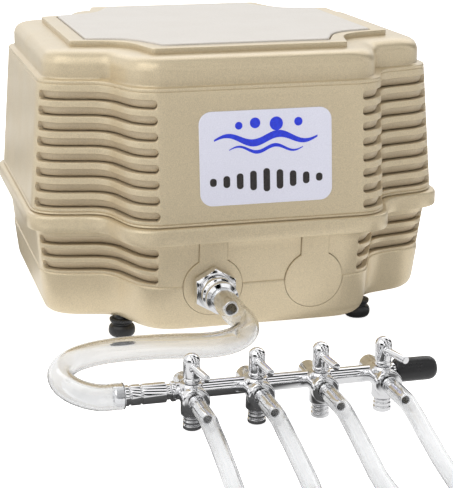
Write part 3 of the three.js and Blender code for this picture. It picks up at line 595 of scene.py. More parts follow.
# One louver from top to bottom: its height as a share of the slot's half-height, a further rise in
# millimetres, and how deep the wall is there.
SLOT_ROWS = [
    (1, 0.45, 0), (1, 0.15, 0.05), (1, 0.02, 0.25), (0.99, 0, 0.95), (0.9, 0, 1.1), (0.5, 0, 1.4),
    (0, 0, 1.75), (-0.5, 0, 2.1), (-0.72, 0, 2.3), (-0.74, 0, 4.2), (-1, 0, 4.2), (-1, 0, 0.7),
    (-1, -0.04, 0.3), (-1, -0.2, 0.06), (-1, -0.45, 0),
]
RECESS_DEPTH = 0.6
SLOT_BACK = WALL - 0.8  # deeper faces are the inside of the casing
SLOT_MARGIN = 0.5


def plan_points(plan):
    """Where a quarter of the outline starts and ends, and where each of its corners starts, turns
    and ends."""
    x, y, side_y, valley_x, valley_y, front_x, edge, bay = plan
    corners = [
        ((x, 0), (x, side_y), (valley_x, valley_y), edge),
        ((x, side_y), (valley_x, valley_y), (front_x, y), bay),
        ((valley_x, valley_y), (front_x, y), (0, y), edge),
    ]
    stops = [np.array((x, 0.0))]
    for before, corner, after, reach in corners:
        before, corner, after = (np.array(p, float) for p in (before, corner, after))
        for end in (before, after):
            length = np.linalg.norm(end - corner)
            stops.append(corner + (end - corner) * min(reach / length, 0.45))
            if end is before:
                stops.append(corner)
    stops.append(np.array((0.0, y)))
    return stops


def quarter_at(plan, u):
    """Points of a quarter of the outline; the four are alike. u runs from 0, the middle of the side
    wall, to 7, the middle of the front or rear one; the corners are from 1 to 2, 3 to 4 and 5 to 6."""
    stops = plan_points(plan)
    straight = {0: (0, 1), 2: (3, 4), 4: (6, 7), 6: (9, 10)}
    curved = {1: (1, 2, 3), 3: (4, 5, 6), 5: (7, 8, 9)}
    out = []
    for value in np.atleast_1d(u):
        part = min(6, int(value))
        t = value - part
        if part in straight:
            a, b = (stops[i] for i in straight[part])
            out.append(a + (b - a) * t)
        else:
            a, b, c = (stops[i] for i in curved[part])
            out.append(a * (1 - t) ** 2 + b * 2 * t * (1 - t) + c * t * t)
    return np.array(out)


def u_at_front_x(plan, x):
    u = np.linspace(4, 7, 600)
    return float(np.interp(x, quarter_at(plan, u)[::-1, 0], u[::-1]))


# The columns of a quarter, from the side wall's middle to the front wall's: plain, then close ones
# where a louver opens, its length, its round end, and plain again.
SIDE_COLUMNS = 8
OPENING = np.array([0, 0.015, 0.04, 0.08])
OPENING_TALL = [0.12, 0.7, 0.94, 1]
OPENING_REACH = 0.13
SLOT_COLUMNS = 34
ROUND_END = np.linspace(0, math.pi / 2, 8)
FRONT_COLUMNS = 8
TALL_BEYOND = OPENING_TALL[0]


def column_places(plan):
    """Where the wall's columns stand on a plan, with close ones round the ends of the slots."""
    tip = u_at_front_x(plan, SLOT_END_X)
    inner = u_at_front_x(plan, SLOT_END_X + SLOT_HALF)
    return np.concatenate([
        np.linspace(0, 1, SIDE_COLUMNS // 2, endpoint=False),
        np.linspace(1, SLOT_START, SIDE_COLUMNS // 2, endpoint=False),
        SLOT_START + OPENING,
        np.linspace(SLOT_START + OPENING_REACH, inner, SLOT_COLUMNS, endpoint=False),
        inner + (tip - inner) * np.sin(ROUND_END),
        np.linspace(tip, 7, FRONT_COLUMNS + 1)[1:],
    ])


COLUMN_TALL = np.concatenate([
    [TALL_BEYOND] * SIDE_COLUMNS, OPENING_TALL, [1] * SLOT_COLUMNS,
    np.maximum(np.cos(ROUND_END), TALL_BEYOND), [TALL_BEYOND] * FRONT_COLUMNS,
])
SLOT_FIRST = SIDE_COLUMNS + 1
SLOT_LAST = SIDE_COLUMNS + len(OPENING) + SLOT_COLUMNS + len(ROUND_END) - 2
COLUMN_DEPTH = np.array([int(SLOT_FIRST <= k <= SLOT_LAST) for k in range(len(COLUMN_TALL))])
COUNT = len(COLUMN_TALL)
MIRROR_INDEX = np.concatenate([
    np.arange(COUNT), np.arange(COUNT - 2, -1, -1), np.arange(1, COUNT), np.arange(COUNT - 2, 0, -1),
])
MIRROR_X = np.repeat([1, -1, -1, 1], [COUNT, COUNT - 1, COUNT - 1, COUNT - 2])
MIRROR_Y = np.repeat([1, 1, -1, -1], [COUNT, COUNT - 1, COUNT - 1, COUNT - 2])
LOOP_TALL = COLUMN_TALL[MIRROR_INDEX]
LOOP_DEPTH = COLUMN_DEPTH[MIRROR_INDEX]


def whole(quarter):
    return np.stack([quarter[MIRROR_INDEX, 0] * MIRROR_X, quarter[MIRROR_INDEX, 1] * MIRROR_Y], 1)


def outward(loop):
    ahead = np.roll(loop, -1, 0) - np.roll(loop, 1, 0)
    out = np.stack([ahead[:, 1], -ahead[:, 0]], 1)
    return out / np.linalg.norm(out, axis=1)[:, None]


RIM_COLUMNS = column_places(RIM_PLAN)


def outline(plan, columns=RIM_COLUMNS):
    return whole(quarter_at(plan, columns))


def inset(plan, d):
    """The plan with every wall moved inward by d."""
    x, y, side_y, valley_x, valley_y, front_x, edge, bay = plan

    def facing(a, b):
        step = np.subtract(b, a) / math.dist(a, b)
        return np.array([step[1], -step[0]])

    side, valley, front = (x, side_y), (valley_x, valley_y), (front_x, y)
    column, lobe = facing(side, valley), facing(valley, front)
    moved = []
    for corner, n1, n2 in ((side, (1, 0), column), (valley, column, lobe), (front, lobe, (0, 1))):
        n1, n2 = np.array(n1, float), np.array(n2, float)
        moved.append(np.array(corner) - (n1 + n2) * d / (1 + n1 @ n2))
    (nx, nsy), (nvx, nvy), (nfx, ny) = moved
    return np.array([nx, ny, nsy, nvx, nvy, nfx, edge, bay])


def at_height(loop, z):
    return np.column_stack([loop, np.broadcast_to(z, len(loop))])


def stepped(plan, steps, base, columns=RIM_COLUMNS):
    """A plan's rings, one for each (inset, rise above base)."""
    return [at_height(outline(inset(plan, d), columns), base + rise) for d, rise in steps]


class Wall:
    """A leaning wall between two plans, sampled at a few heights and read at any height."""

    def __init__(self, low_plan, low_z, high_plan, high_z):
        self.heights = np.linspace(low_z, high_z, 6)
        self.loops = []
        for z in self.heights:
            plan = low_plan + (high_plan - low_plan) * (z - low_z) / (high_z - low_z)
            self.loops.append(outline(plan, column_places(plan)))
        self.normals = [outward(loop) for loop in self.loops]

    def at(self, z, depth):
        """The loop at height z, which may differ from column to column, pressed in by depth."""
        z = np.broadcast_to(z, len(LOOP_TALL)).astype(float)
        place_in = (z - self.heights[0]) / (self.heights[1] - self.heights[0])
        low = np.clip(place_in.astype(int), 0, len(self.heights) - 2)
        t = (place_in - low)[:, None]
        columns = np.arange(len(z))
        loops, normals = np.array(self.loops), np.array(self.normals)
        point = loops[low, columns] * (1 - t) + loops[low + 1, columns] * t
        normal = normals[low, columns] * (1 - t) + normals[low + 1, columns] * t
        return np.column_stack([point - normal * np.broadcast_to(depth, len(z))[:, None], z])

    def quarter_near(self, z):
        """A quarter of the loop at about height z, from the side wall round to the front."""
        share = (z - self.heights[0]) / (self.heights[-1] - self.heights[0])
        low = min(int(share * (len(self.heights) - 1)), len(self.heights) - 2)
        t = share * (len(self.heights) - 1) - low
        return (self.loops[low] * (1 - t) + self.loops[low + 1] * t)[:COUNT]

    def steps(self, steps, base):
        return [self.at(base + rise, depth) for rise, depth in steps]

    def slot(self, centre, sink=0.0):
        rings = []
        for share, rise, depth in SLOT_ROWS:
            z = centre + share * SLOT_HALF * LOOP_TALL + rise
            rings.append(self.at(z, depth * LOOP_DEPTH + sink))
        return rings


UPPER_WALL = Wall(BELT_PLAN, PARTING_Z, RIM_PLAN, RIM_Z)
LOWER_WALL = Wall(BASE_PLAN, FLOOR_Z, SKIRT_PLAN, BELT_LOW_Z)


def smooth_shoulder():
    """Share and height down the shoulder, on a smooth curve through its main points."""
    line = smooth_line([(share * SHOULDER_SPAN, z, 0) for share, z in SHOULDER], 0.8)
    return [(min(1, max(0, x / SHOULDER_SPAN)), z) for x, z, _ in line]


def upper_casing():
    pocket = inset(PANEL_PLAN, -0.55)
    rings = stepped(pocket, [(0, -2.4), (0, -2.39), (0, -0.3), (-0.1, -0.08), (-0.35, 0)], PLATEAU_Z)
    edge = [(0.9, 0), (0.45, -0.03), (0.12, -0.2), (0, -0.5), (0, -1.7)]
    rings += stepped(PLATEAU_PLAN, edge, PLATEAU_Z)
    foot = outline(PLATEAU_PLAN)
    shoulder_plan = inset(RIM_PLAN, SHOULDER_STEP)
    shoulder_plan[7] = SHOULDER_BAY
    under_rim = outline(shoulder_plan)
    for share, z in smooth_shoulder():
        rings.append(at_height(foot + (under_rim - foot) * share, z))
    rings += stepped(RIM_PLAN, [(2.25, 0.45), (2.0, 0.3), (0.6, 0.2), (0.15, 0.1), (0, -0.2)], RIM_Z)
    groove = [(-0.85, 0), (-0.98, 0.06), (-1.1, 0.28), (-1.3, 0.28), (-1.42, 0.06), (-1.6, 0)]
    rings += UPPER_WALL.steps(groove, RIM_Z)
    for i, centre in enumerate(UPPER_SLOTS):
        rings += UPPER_WALL.slot(centre)
        if i + 1 < len(UPPER_SLOTS):
            rings.append(UPPER_WALL.at((centre + UPPER_SLOTS[i + 1]) / 2, -0.03))
    low = PARTING_Z + PARTING_HALF_GAP
    lip = [
        (1.7, 0), (1.3, 0.05), (1.1, 0.35), (0.95, 0.4), (0.75, 0.05), (0.5, -0.12), (0.2, -0.1), (0, 0.15),
    ]
    rings += UPPER_WALL.steps(lip, low)
    underside = [(0.9, 0.05), (0.98, 1.1), (WALL, 1.15)]
    rings += stepped(BELT_PLAN, underside, low, column_places(BELT_PLAN))
    rings += stepped(RIM_PLAN, [(WALL, -3)], RIM_Z) + stepped(PLATEAU_PLAN, [(1, 0)], CEILING_Z)
    casing = add_mesh("upper_casing", *loft(rings), GOLD)
    paint_louver_shade(casing, UPPER_WALL, UPPER_SLOTS)
    return finish_piece(casing, "root", "gold_casing", "upper_housing")


def paint_louver_shade(casing, wall, slots, sink=0.0):
    """Gives the faces that lie deep in the louvers a darker gold: painted shade in the recesses."""
    mesh = casing.data
    mesh.materials.append(LOUVER_SHADE_GOLD)
    middles = np.array([tuple(polygon.center) for polygon in mesh.polygons])
    middles = (middles - ORIGIN) / MM
    half_x, half_y = np.abs(middles[:, 0]), np.abs(middles[:, 1])
    angles = np.arctan2(half_y, half_x)
    radii = np.hypot(half_x, half_y)
    reach = SLOT_HALF + SLOT_MARGIN
    for polygon, z, angle, radius in zip(mesh.polygons, middles[:, 2], angles, radii):
        if not slots[-1] - reach < z < slots[0] + reach:
            continue
        loop = wall.quarter_near(z)
        around = np.arctan2(loop[:, 1], loop[:, 0])
        if not around[SLOT_FIRST - 1] < angle < around[SLOT_LAST + 1]:
            continue
        surface = np.interp(angle, around, np.hypot(loop[:, 0], loop[:, 1]))
        if RECESS_DEPTH < surface - radius - sink < SLOT_BACK:
            # the darker gold on these faces is painted shade for the recess
            polygon.material_index = 1


def top_cover():
    edge = [(0, -0.75), (0.08, -0.4), (0.3, -0.12), (0.7, 0), (1.4, 0.02)]
    rings = stepped(PANEL_PLAN, [(0, -2.1)], PLATEAU_Z) + stepped(PANEL_PLAN, edge, PANEL_TOP_Z - 0.04)
    return make("top_cover_panel", loft(rings), PANEL_GOLD, "top_panel", "top_panel")


WALL_LEAN = math.atan2(SKIRT_PLAN[1] - BASE_PLAN[1], BELT_LOW_Z - FLOOR_Z)
KEYHOLE_Z = 26.8
KEYHOLE_R = 12.2
KEYHOLE_NECK = 11.6
KEYHOLE_GAP = 0.16
INTAKE_GAP = 0.3
KEYHOLE_TOP = BELT_LOW_Z - KEYHOLE_Z - 0.6


def lower_wall_y(z):
    return -(BASE_PLAN[1] + (SKIRT_PLAN[1] - BASE_PLAN[1]) * (z - FLOOR_Z) / (BELT_LOW_Z - FLOOR_Z))


def on_wall(x, y, z, lean):
    """Maps a flat drawing (across, up, out) onto the front wall through (x, y, z)."""
    def put(point):
        across, up, out = point
        return (
            x + across,
            y - up * math.sin(lean) - out * math.cos(lean),
            z + up * math.cos(lean) - out * math.sin(lean),
        )
    return put


def keyhole(grow):
    """A round hole's outline with a neck that runs up to the flange."""
    r, half = KEYHOLE_R + grow, KEYHOLE_NECK / 2 + grow
    start = math.asin(half / r)
    arc = np.linspace(math.pi / 2 - start, -1.5 * math.pi + start, 64)
    return [(half, KEYHOLE_TOP + grow), *((r * math.cos(a), r * math.sin(a)) for a in arc),
            (-half, KEYHOLE_TOP + grow)]


def keyhole_solid(name, x, levels, material):
    """A plate of the keyhole's shape. levels are (growth, height above the wall) pairs."""
    put = on_wall(x, lower_wall_y(KEYHOLE_Z), KEYHOLE_Z, WALL_LEAN)
    rings = [[put((u, v, out)) for u, v in keyhole(grow)] for grow, out in levels]
    return add_mesh(name, *loft(rings), material)


def box_solid(name, low, high):
    xs, ys, zs = zip(low, high)
    corners = [(x, y, z) for x in xs for y in ys for z in zs]
    faces = [(0, 1, 3, 2), (4, 6, 7, 5), (0, 4, 5, 1), (2, 3, 7, 6), (0, 2, 6, 4), (1, 5, 7, 3)]
    return add_mesh(name, corners, faces, None)


def lower_casing():
    rings = []
    for d, rise in ((5.2, 0), (3.4, 0.12), (1.9, 0.7), (0.8, 1.9), (0.2, 3.6)):
        plan = BASE_PLAN + (SKIRT_PLAN - BASE_PLAN) * rise / (BELT_LOW_Z - FLOOR_Z)
        rings.append(at_height(outline(inset(plan, d)), FLOOR_Z + rise))
    rings.append(LOWER_WALL.at(FLOOR_Z + BASE_EDGE, 0))
    rings += LOWER_WALL.steps([(-0.9, 0), (-0.3, 0.04), (0, 0.25), (0.15, LEDGE_STEP)], LEDGE_Z)
    for centre in reversed(LOWER_SLOTS):
        rings += LOWER_WALL.slot(centre, LEDGE_STEP)[::-1]
    rings += LOWER_WALL.steps([(-0.5, LEDGE_STEP), (-0.06, LEDGE_STEP / 2)], BELT_LOW_Z)
    under_flange = [(2.2, 0), (0.9, 0.06), (0.28, 0.35), (0, 1.0), (0, 3.5)]
    over_flange = [
        (0, -1.5), (0.12, -0.9), (0.5, -0.36), (1.1, -0.06), (FLANGE_REACH + 0.5, 0),
        (FLANGE_REACH + 0.6, 0.1), (FLANGE_REACH + 0.65, 0.85), (8.2, 0.85),
    ]
    for steps, base in ((under_flange, BELT_LOW_Z), (over_flange, PARTING_Z - PARTING_HALF_GAP)):
        steps = [(d - FLANGE_REACH, rise) for d, rise in steps]
        rings += stepped(BELT_PLAN, steps, base, column_places(BELT_PLAN))
    rings += stepped(SKIRT_PLAN, [(WALL, -2)], BELT_LOW_Z) + stepped(BASE_PLAN, [(WALL + 1, WALL)], FLOOR_Z)
    casing = add_mesh("lower_casing", *loft(rings), GOLD)
    paint_louver_shade(casing, LOWER_WALL, LOWER_SLOTS, LEDGE_STEP)
    through = ((KEYHOLE_GAP, -9), (KEYHOLE_GAP, 4))
    cutters = [
        keyhole_solid(f"cut_{x:.0f}", x, through, None)
        for x in (middle("outlet_insert")[0], middle("blank_insert")[0])
    ]
    low, high = home("intake_cover")
    cutters.append(box_solid("cut_floor", low - INTAKE_GAP, high + (INTAKE_GAP, INTAKE_GAP, 9)))
    carve(casing, *cutters)
    return finish_piece(casing, "root", "gold_casing", "lower_housing")


def keyhole_plate(name, cad_node):
    levels = ((0, -5), (0, -0.1), (-0.06, 0.16), (-0.22, 0.26), (-0.5, 0.28))
    plate = keyhole_solid(name, middle(cad_node)[0], levels, GOLD)
    return finish_piece(plate, "root", "gold_casing", cad_node)


# ---------- label ----------
def rounded_rectangle(w, h, r, steps=10):
    points = []
    middles = ((w - r, h - r), (r - w, h - r), (r - w, r - h), (w - r, r - h))
    for (cx, cy), start in zip(middles, (0, 90, 180, 270)):
        for a in np.radians(np.linspace(start, start + 90, steps)):
            points.append((cx + r * math.cos(a), cy + r * math.sin(a)))
    return points


def flat_piece(name, outlines, put, low, high, material, edge=0.04):
    """Thin raised shapes with softened edges, all in one mesh."""
    parts = []
    for points in outlines:
        shape = np.array(points)
        centre = shape.mean(0)
        inward = -edge * outward(shape)
        if math.dist(shape[0] + inward[0], centre) > math.dist(shape[0], centre):
            inward = -inward
        levels = ((shape, low), (shape, high - edge), (shape + inward, high))
        parts.append(loft([[put((u, v, out)) for u, v in loop] for loop, out in levels]))
    return add_mesh(name, *merge(*parts), material, PRINT_SHARP)


def disc(cx, cy, r):
    angles = np.linspace(0, 2 * math.pi, 40, endpoint=False)
    return [(cx + r * math.cos(a), cy + r * math.sin(a)) for a in angles]


def wave(low_x, high_x, y, height, thick):
    """A wavy band, thinner at its ends."""
    xs = np.linspace(low_x, high_x, 60)
    middle_line = y + height * np.sin((xs - low_x) / (high_x - low_x) * 4 * math.pi)
    half = thick / 2 * (0.25 + 0.75 * np.sin((xs - low_x) / (high_x - low_x) * math.pi))
    return [*zip(xs, middle_line - half), *zip(xs[::-1], (middle_line + half)[::-1])]


def bar(cx, cy, w, h):
    return [(cx + u, cy + v) for u, v in rounded_rectangle(w / 2, h / 2, min(w, h) * 0.45, 6)]


LABEL_CORNER_R = 5
FILM = (-0.1, 0.4)  # its back and its face, out from the wall
INK = (0.36, 0.47)


def label():
    low, high = home("label_plate")
    x, _, z = middle("label_plate")
    share = (z - PARTING_Z) / (RIM_Z - PARTING_Z)
    y = -(BELT_PLAN[1] + (RIM_PLAN[1] - BELT_PLAN[1]) * share)
    lean = -math.atan2(BELT_PLAN[1] - RIM_PLAN[1], RIM_Z - PARTING_Z)
    put = on_wall(x, y, z, lean)
    w, h = (high[0] - low[0]) / 2, (high[2] - low[2]) / 2 / math.cos(lean)
    film = flat_piece("label_film", [rounded_rectangle(w, h, LABEL_CORNER_R)], put, *FILM, LABEL, 0.12)
    finish_piece(film, "root", "label", "label_plate")
    blue = [wave(-21, 21, 7.2, 1.6, 3.0), wave(-15, 15, 3.2, 1.2, 1.5), disc(-11, 12.6, 1.5),
            disc(-4.4, 13.4, 2.1), disc(4.2, 12.8, 2.7), disc(13.2, 13.2, 1.7)]
    dark = [bar(i * 5.4, -9.2, 2.7, 3.2 + 1.5 * (4 - abs(i))) for i in range(-4, 5)]
    for name, shapes, ink in (("label_waves", blue, BLUE_INK), ("label_bars", dark, DARK_INK)):
        finish_piece(flat_piece(name, shapes, put, *INK, ink), "root", "label")


# ---------- feet, gland and outlet ----------
def foot(place_name):
    cad_node = f"foot_{place_name}"
    x, y, _ = middle(cad_node)
    top = home(cad_node)[1][2]
    profile = [
        (0, 0), (3.6, 0), (4.8, 0.4), (5.5, 1.5), (5.6, 2.8), (5.4, 4.0), (4.8, 4.9), (4.1, 5.3),
        (4.1, 5.8), (4.7, 6.2), (5.1, 6.9), (5.1, 7.8), (2.6, 7.8), (2.6, top), (0, top),
    ]
    shape = turned(profile, "z", (x, y, 0), SIDES, 0.7)
    make(f"rubber_{cad_node}", shape, RUBBER, "black_rubber", cad_node, sharp=RUBBER_SHARP)


NUT_BORE_R = 4.6
NUT_CHAMFER = 0.8
NUT_SHARP = 20


def hex_nut():
    low, high = home("outlet_nut")
    x, _, z = middle("outlet_nut")
    corner = (high[2] - low[2]) / 2
    flats = corner * math.cos(math.pi / 6)
    thick = high[1] - low[1]
    angles = np.linspace(0, 2 * math.pi, 96, endpoint=False)

    def ring(limit, depth):
        points = []
        for a in angles:
            from_flat = a % (math.pi / 3) - math.pi / 6
            r = min(flats / math.cos(from_flat), limit)
            points.append((x + r * math.sin(a), high[1] - depth, z + r * math.cos(a)))
        return points

    start = flats * 0.97
    cone = [(start + (corner - start) * share, NUT_CHAMFER * share) for share in np.linspace(0, 1, 7)]
    rings = [ring(NUT_BORE_R, 0)] + [ring(limit, depth) for limit, depth in cone]
    rings += [ring(limit, thick - depth) for limit, depth in reversed(cone)]
    rings += [ring(NUT_BORE_R + 0.5, thick), ring(NUT_BORE_R, thick - 0.4)]
    return make("hex_lock_nut", loft(rings, close=True), CHROME, "chrome", "outlet_nut", sharp=NUT_SHARP)


def nozzle():
    low, high = home("outlet_nozzle")
    x, _, z = middle("outlet_nozzle")
    back, tip = -high[1], -low[1]
    front = -home("outlet_nut")[0][1] + 0.3
    collar_and_barbs = [
        (4.2, 0), (7.0, 0), (7.0, 4.6), (6.0, 5.2), (6.0, 6.7), (6.5, 7.2), (6.5, 9.2), (3.4, 9.8),
        (3.4, 11.6), (3.9, 12.2), (3.2, 14.6), (3.85, 15.2), (3.2, 17.6), (3.8, 18.2),
    ]
    mouth = [(3.0, -0.2), (2.7, 0), (2.3, 0), (2.2, -6), (1.9, -7)]
    profile = [(1.9, back), (4.2, back), *raised(collar_and_barbs, front), *raised(mouth, tip)]
    shape = turned(profile, "-y", (x, 0, z), FINE_SIDES, 0.22)
    return make("barbed_nozzle", shape, CHROME, "chrome", "outlet_nozzle")


def gland():
    low, high = home("cable_gland")
    x, _, z = middle("cable_gland")
    back, end = low[1], high[1]
    face = back + 6
    profile = [
        (3.0, back), (6.0, back), (6.0, face + 0.2), (8.2, face + 0.2), (8.2, face + 3.2),
        (6.0, face + 4.2),
    ]
    for k in range(3):
        start, rib_r = face + 4.6 + k * 2.3, 5.5 - 0.3 * k
        profile += [(rib_r, start), (rib_r, start + 1.3), (4.3, start + 1.5), (4.3, start + 2.1)]
    profile += [(4.4, end - 0.8), (4.4, end), (3.0, end)]
    shape = turned(profile, "y", (x, 0, z), SIDES, 0.25)
    return make("lead_entry_gland", shape, RUBBER, "black_rubber", "cable_gland")


# ---------- manifold ----------
PIPE_Y = middle("manifold_pipe")[1]
PIPE_Z = middle("manifold_pipe")[2]
PIPE_R = 3.1
PIPE_BORE_R = 2.0
INLET_R = 3.7
GROOVE_R = 3.3
GROOVES = [5.6, 9.7]  # how far along the inlet
BODY_TOP_Z = PIPE_Z + 4.9
STEM_R = 3.0
PIN_R = 1.35
PIN_REACH = 14
PIN_ANGLES = [8, 4, 5, 14]  # degrees to the right of straight ahead
PIN_DROP = 4.7  # from the stem's top to the pin


def pipe():
    left, right = home("manifold_pipe")[0][0], home("manifold_pipe")[1][0]
    profile = [(PIPE_BORE_R, left), (GROOVE_R, left), (INLET_R, left + 0.6)]
    for groove in GROOVES:
        cut = [(INLET_R, -0.4), (GROOVE_R, -0.3), (GROOVE_R, 0.3), (INLET_R, 0.4)]
        profile += raised(cut, left + groove)
    collar = [(INLET_R, 18.4), (2.8, 18.8), (2.8, 20.2), (3.6, 20.5), (3.6, 21.8), (PIPE_R, 22.2)]
    profile += [*raised(collar, left), (PIPE_R, right), (PIPE_BORE_R, right)]
    shape = turned(profile, "x", (0, PIPE_Y, PIPE_Z), FINE_SIDES, 0.15)
    return make("brass_manifold_pipe", shape, CHROME, "chrome", "manifold_pipe", sharp=METAL_SHARP)


def end_cap():
    low, high = home("manifold_end_cap")
    a, b = low[0], high[0]
    profile = [
        (PIPE_R + 0.1, a), (4.1, a), (4.4, a + 0.6), (4.4, b - 3.4), (4.1, b - 1.8), (3.2, b - 0.6),
        (1.8, b - 0.1), (0, b), (0, b - 3.5), (PIPE_R + 0.1, b - 3.5),
    ]
    shape = turned(profile, "x", (0, PIPE_Y, PIPE_Z), SIDES, 0.5)
    return make("rubber_end_cap", shape, RUBBER, "black_rubber", "manifold_end_cap", sharp=RUBBER_SHARP)


def valve_body(i, x, y):
    low, high = home(f"valve_body_{i}")
    back, tip = -high[1], -low[1]
    bottom = home(f"valve_nut_{i}")[1][2] + 0.3
    outside = [
        (0, 0), (3.0, 0), (3.6, 0.5), (3.6, 7.2), (4.3, 10), (4.5, 18.2), (4.6, 19.6), (5.0, 20.4),
        (5.0, 23), (4.4, 23.4), (2.1, 23.5), (2.1, 28.4), (2.42, 28.8), (2.1, 31), (2.42, 31.4),
        (2.1, 33.6), (2.4, 34),
    ]
    along = [*raised(outside, back), (2.0, tip), (1.45, tip), *raised([(1.45, 14), (0, 14)], back)]
    upright = [
        (0, bottom), (3.5, bottom), (4.0, bottom + 0.5), (4.0, BODY_TOP_Z - 0.9), (3.4, BODY_TOP_Z),
        (0, BODY_TOP_Z),
    ]
    shapes = merge(
        turned(along, "-y", (x, 0, PIPE_Z), SIDES, 0.18),
        turned(upright, "z", (x, y, 0), SIDES, 0.3),
    )
    return make(f"brass_valve_body_{i}", shapes, CHROME, "chrome", f"valve_body_{i}", sharp=METAL_SHARP)


def valve_stem(i, x, y):
    low, high = home(f"valve_stem_{i}")
    bottom, top, neck = low[2], high[2], BODY_TOP_Z + 0.3
    dome = [
        (STEM_R * math.cos(a), top - 2.6 + 2.6 * math.sin(a)) for a in np.radians((0, 20, 40, 60, 78))
    ]
    rings = [(2.0, 0), (2.7, 0), (STEM_R, 0.4), (STEM_R, 1.4), (2.8, 1.6), (2.8, 1.9), (STEM_R, 2.1)]
    stem = [(0, bottom), (2.0, bottom), *raised(rings, neck), *dome, (0, top)]
    pin = [(0, 0), (1.9, 0), (1.9, 3.2), (PIN_R, 3.5), (PIN_R, PIN_REACH), (0, PIN_REACH)]
    angle = math.radians(PIN_ANGLES[i - 1])
    ahead = (math.sin(angle), -math.cos(angle), 0)
    pin_axes = ((math.cos(angle), math.sin(angle), 0), (0, 0, 1), ahead)
    shapes = merge(
        turned(stem, "z", (x, y, 0), SIDES, 0.15),
        turned(pin, None, (x, y, top - PIN_DROP), 28, 0.2, pin_axes),
    )
    return make(f"lever_plug_{i}", shapes, CHROME, "chrome", f"valve_stem_{i}",
                body=f"lever_{i}", sharp=METAL_SHARP)


def valve_nut(i, x, y):
    high = home(f"valve_nut_{i}")[1][2]
    profile = [
        (0, 0), (2.7, 0), (3.3, 0.4), (3.3, 1.7), (2.8, 1.9), (2.8, 2.2), (3.2, 2.4), (3.2, 3.3),
        (2.8, 3.5), (2.8, 3.8), (3.1, 4.0), (3.1, high - 0.3), (2.6, high), (0, high),
    ]
    shape = turned(profile, "z", (x, y, 0), SIDES, 0.15)
    return make(f"ringed_nut_{i}", shape, CHROME, "chrome", f"valve_nut_{i}", sharp=METAL_SHARP)


def valve(i):
    x, y, _ = middle(f"valve_nut_{i}")
    return [part(i, x, y) for part in (valve_body, valve_stem, valve_nut)]


def tie():
    low, high = home("coil_tie")
    x, y, _ = middle("coil_tie")
    half_y, half_z = (high[1] - low[1]) / 2, (high[2] - low[2]) / 2
    strap_section = (
        (-0.9, 3.2), (-0.9, -3.2), (-0.75, -3.5), (-0.15, -3.5), (0, -3.2), (0, 3.2), (-0.15, 3.5),
        (-0.75, 3.5),
    )
    rings = []
    for grow, across in strap_section:
        loop = rounded_rectangle(half_y + grow, half_z + grow, 5 + grow, 8)
        rings.append([(x + across, y + u, low[2] + half_z + v) for u, v in loop])
    shape = loft(rings, close=True)
    return make("tube_tie_strap", shape, RUBBER, "tie", "coil_tie", sharp=RUBBER_SHARP)


# ---------- assembly ----------
hose, hose_line = make_hose()
tubes = [make_tube(i) for i in range(4)]
upper_casing()
top_cover()
lower_casing()
keyhole_plate("outlet_keyhole_plate", "outlet_insert")
keyhole_plate("blank_keyhole_plate", "blank_insert")
label()
for place_name in ("front_left", "front_right", "rear_left", "rear_right"):
    foot(place_name)
hex_nut()
nozzle()
gland()
on_hose = [pipe(), end_cap()]
for i in range(1, 5):
    on_hose += valve(i)
strap = tie()

place(hose_line[0])
place(hose_line)
for i, (tube, line) in enumerate(tubes):
    place(line[0])
    place(line)

INNER_LOOKS = {
    "intake_cover": NYLON, "foam_filter": FOAM, "motor_frame": STEEL, "vibration_mount": RUBBER,
    "magnet_core": STEEL, "magnet_coil": COPPER, "armature": STEEL, "diaphragm": RUBBER,
    "clamp_ring": NYLON, "pump_head": NYLON, "air_joint": NYLON, "head_hose": RUBBER,
}
for name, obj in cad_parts.items():
    for start, material in INNER_LOOKS.items():
        if name.startswith(start):
            obj.data.materials.clear()
            obj.data.materials.append(material)


# ---------- floor, lamps and studio ----------
# The camera sees a plain white floor. Every reflection, the satin paint's too, is of a darker, banded
# floor and of studio walls with soft dark bands in front. The clear tubes show the floor greyer than
# it is, so that they stand out on it.
def mirror_rays(surface):
    """The light path, and 1 on what a surface reflects but not on what a clear one lets through."""
    ray = node(surface, "ShaderNodeLightPath")
    mirrored = node(surface, "ShaderNodeMath", operation="SUBTRACT", use_clamp=True)
    link(ray.outputs["Is Glossy Ray"], mirrored.inputs[0])
    link(ray.outputs["Is Transmission Ray"], mirrored.inputs[1])
    return ray, mirrored.outputs["Value"]


def diagonal_bands(surface, coordinates, **settings):
    waves = node(surface, "ShaderNodeTexWave", bands_direction="DIAGONAL", **settings)
    link(node(surface, "ShaderNodeTexCoord").outputs[coordinates], waves.inputs["Vector"])
    return waves.outputs["Fac"]


def mixed(surface, share, first, second):
    """Runs from first to second, which are sockets or grey levels."""
    mix = node(surface, "ShaderNodeMixRGB")
    link(share, mix.inputs["Fac"])
    for socket, value in (("Color1", first), ("Color2", second)):
        if isinstance(value, float):
            mix.inputs[socket].default_value = (value, value, value, 1)
        else:
            link(value, mix.inputs[socket])
    return mix.outputs["Color"]


FLOOR_HALF = 6.0
FLOOR_DROP = 0.0003
PAPER = 0.82
PAPER_IN_MIRRORS = 0.1
GLOW = 0.9
GLOW_THROUGH_TUBES = 0.28
GLOW_IN_MIRRORS = 0.8

